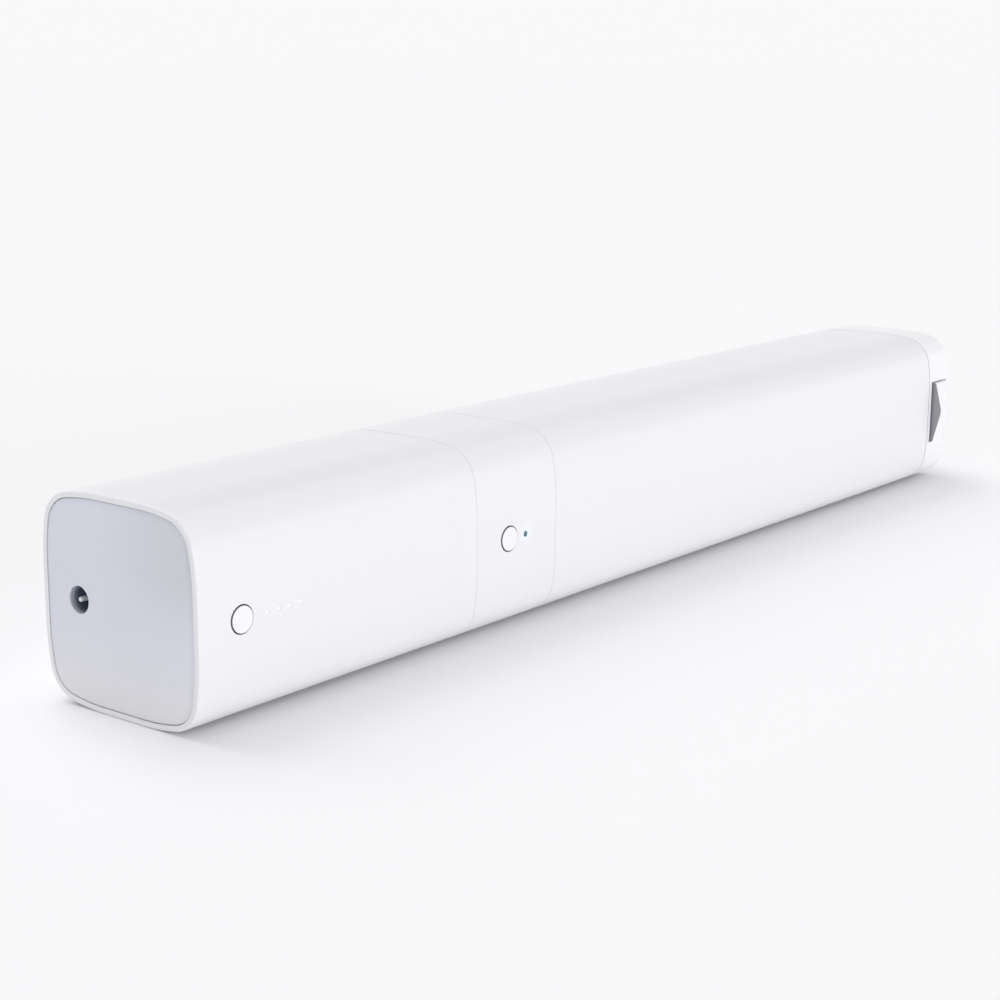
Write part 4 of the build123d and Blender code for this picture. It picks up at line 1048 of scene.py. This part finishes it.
# %% A tree for the row of lights
LIGHT_BAR_FRONT = -0.02795
CROWN_RINGS = 12
lights = Shape(
    "row_of_lights",
    first=0.0, pitch=0.0041, count=4, radius=0.0006, front=-0.030, back=-0.024, bar_front=LIGHT_BAR_FRONT,
    bar_side=0.0024, dome=0.00008, axis_height=AXIS_HEIGHT, sides=28,
)
size = lights.entry
stalk_length = size["bar_front"] - size["front"] - size["dome"]
stalk = lights.cylinder(size["sides"], size["radius"], stalk_length)
stalk = lights.moved(stalk, Rotation=(math.pi / 2, 0.0, 0.0))
crown_size = {"Segments": size["sides"], "Rings": CROWN_RINGS, "Radius": size["radius"]}
crown = lights.node("GeometryNodeMeshUVSphere", {}, crown_size)["Mesh"]
flattened = lights.point(X=1.0, Y=size["dome"] / size["radius"], Z=1.0)
crown = lights.moved(crown, Translation=lights.point(Y=stalk_length * -0.5), Scale=flattened)

start = lights.point(X=size["first"], Y=size["bar_front"] - stalk_length * 0.5, Z=size["axis_height"])
line = {"Count": size["count"], "Start Location": start, "Offset": lights.point(X=size["pitch"])}
row_points = lights.node("GeometryNodeMeshLine", {}, line)["Mesh"]
row_lights = lights.repeated(lights.joined(stalk, crown), row_points)
row_length = size["pitch"] * (size["count"] - 1)
bar_size = lights.point(
    X=row_length + size["bar_side"], Y=size["back"] - size["bar_front"], Z=size["bar_side"])
bar_place = lights.point(
    X=size["first"] + row_length / 2, Y=(size["back"] + size["bar_front"]) / 2, Z=size["axis_height"])
bar = lights.moved(lights.node("GeometryNodeMeshCube", {}, {"Size": bar_size})["Mesh"], Translation=bar_place)
lights.end(lights.joined(row_lights, bar))

low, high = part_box("gauge_light_pipes")
bar_side = high.z - low.z
gauge_lights = lights.run(
    "gauge_lights_row", light_guide, first=low.x + bar_side / 2, front=low.y, back=high.y, bar_side=bar_side,
    axis_height=(low.z + high.z) / 2)
shade(gauge_lights, REPEATED_DEGREES)
dress(gauge_lights, "gauge_light_pipes")
print("lights from", [round(v, 4) for v in low], "faces", len(gauge_lights.data.polygons))

# %% [markdown]
# ## Floor, backdrop and light
#
# The bar lies in an even white studio. The world is bright near the horizon and much dimmer overhead, so that
# the sides of the bar and its top part from each other. Three broad lamps do the rest. A low one lifts the
# side with the buttons, one from behind and above draws the shadow in front of the near edge, and one
# overhead lights the top. The floor is a pale sheet, and where the camera looks past it, the world shows the
# same pale tone.

# %% Floor and world
BACKDROP = from_screen(249, 249, 250)
FLOOR_REACH = 40.0
HORIZON_LIGHT, CEILING_LIGHT = 1.18, 0.50
CEILING_START, CEILING_SPREAD = 0.24, 0.06
floor_mesh = bpy.data.meshes.new("floor")
floor_shape = bmesh.new()
bmesh.ops.create_grid(floor_shape, x_segments=1, y_segments=1, size=FLOOR_REACH)
floor_shape.to_mesh(floor_mesh)
floor_shape.free()
floor = added("floor", floor_mesh)
pale_floor = Finish("pale_floor")
pale_floor.set(base_color=BACKDROP, roughness=0.9, specular_ior_level=0.0)
floor.data.materials.append(pale_floor.material)

world = bpy.data.worlds.new("studio")
bpy.context.scene.world = world
world.use_nodes = True
sky = Tree(world.node_tree)
up = sky.split(sky.node("ShaderNodeTexCoord")["Generated"])["Z"]
ceiling = ((up - CEILING_START) / CEILING_SPREAD).held(0.0, 1.0)
studio_light = HORIZON_LIGHT + (CEILING_LIGHT - HORIZON_LIGHT) * ceiling
seen = sky.node("ShaderNodeLightPath")["Is Camera Ray"]
background = world.node_tree.nodes["Background"]
feed(sky.tree, background.inputs["Color"], BACKDROP)
feed(sky.tree, background.inputs["Strength"], studio_light + (1.0 - studio_light) * seen)
print("studio light", HORIZON_LIGHT, "falling to", CEILING_LIGHT)


# %% Lamps
def sun(name, azimuth, elevation, strength, softness):
    """A distant lamp, seen at this azimuth (0 is -Y, 90 is -X) and elevation in degrees, and this wide."""
    data = bpy.data.lights.new(name, "SUN")
    data.energy = strength
    data.angle = math.radians(softness)
    a, e = math.radians(azimuth), math.radians(elevation)
    source = Vector((-math.sin(a) * math.cos(e), -math.cos(a) * math.cos(e), math.sin(e)))
    added(name, data).rotation_euler = source.to_track_quat("Z", "Y").to_euler()


sun("low_front_lamp", azimuth=0, elevation=4, strength=1.25, softness=20)
sun("high_back_lamp", azimuth=188, elevation=50, strength=0.86, softness=50)
sun("overhead_lamp", azimuth=180, elevation=80, strength=0.75, softness=50)
print("lamps", len(bpy.data.lights))

# %% [markdown]
# ## Camera
#
# The photograph looks at the battery end from the front left, a little from above. The camera's place and
# lens come from matching the outline of the end, the seams and the far end, so we write them down as they
# were measured.

# %% Camera
CAMERA_PLACE = (-0.53884, -0.38021, 0.17049)
YAW, PITCH, ROLL = 0.90274, 0.22288, -0.00396
FOCAL_PIXELS, PICTURE_PIXELS = 1955.1, 1000.0
SENSOR_WIDTH = 36.0
ahead = Vector((math.sin(YAW) * math.cos(PITCH), math.cos(YAW) * math.cos(PITCH), -math.sin(PITCH)))
right = Vector((math.cos(YAW), -math.sin(YAW), 0.0))
down = ahead.cross(right)
tilted_right = right * math.cos(ROLL) + down * math.sin(ROLL)
tilted_down = down * math.cos(ROLL) - right * math.sin(ROLL)
camera_data = bpy.data.cameras.new("camera")
camera_data.sensor_fit = "HORIZONTAL"
camera_data.sensor_width = SENSOR_WIDTH
camera_data.lens = SENSOR_WIDTH * FOCAL_PIXELS / PICTURE_PIXELS
camera = added("camera", camera_data)
camera.matrix_world = Matrix.Translation(CAMERA_PLACE) @ Matrix((
    (tilted_right.x, -tilted_down.x, -ahead.x),
    (tilted_right.y, -tilted_down.y, -ahead.y),
    (tilted_right.z, -tilted_down.z, -ahead.z),
)).to_4x4()
bpy.context.scene.camera = camera
bpy.context.scene.view_settings.view_transform = "Standard"
print("lens", round(camera_data.lens, 2), "mm")
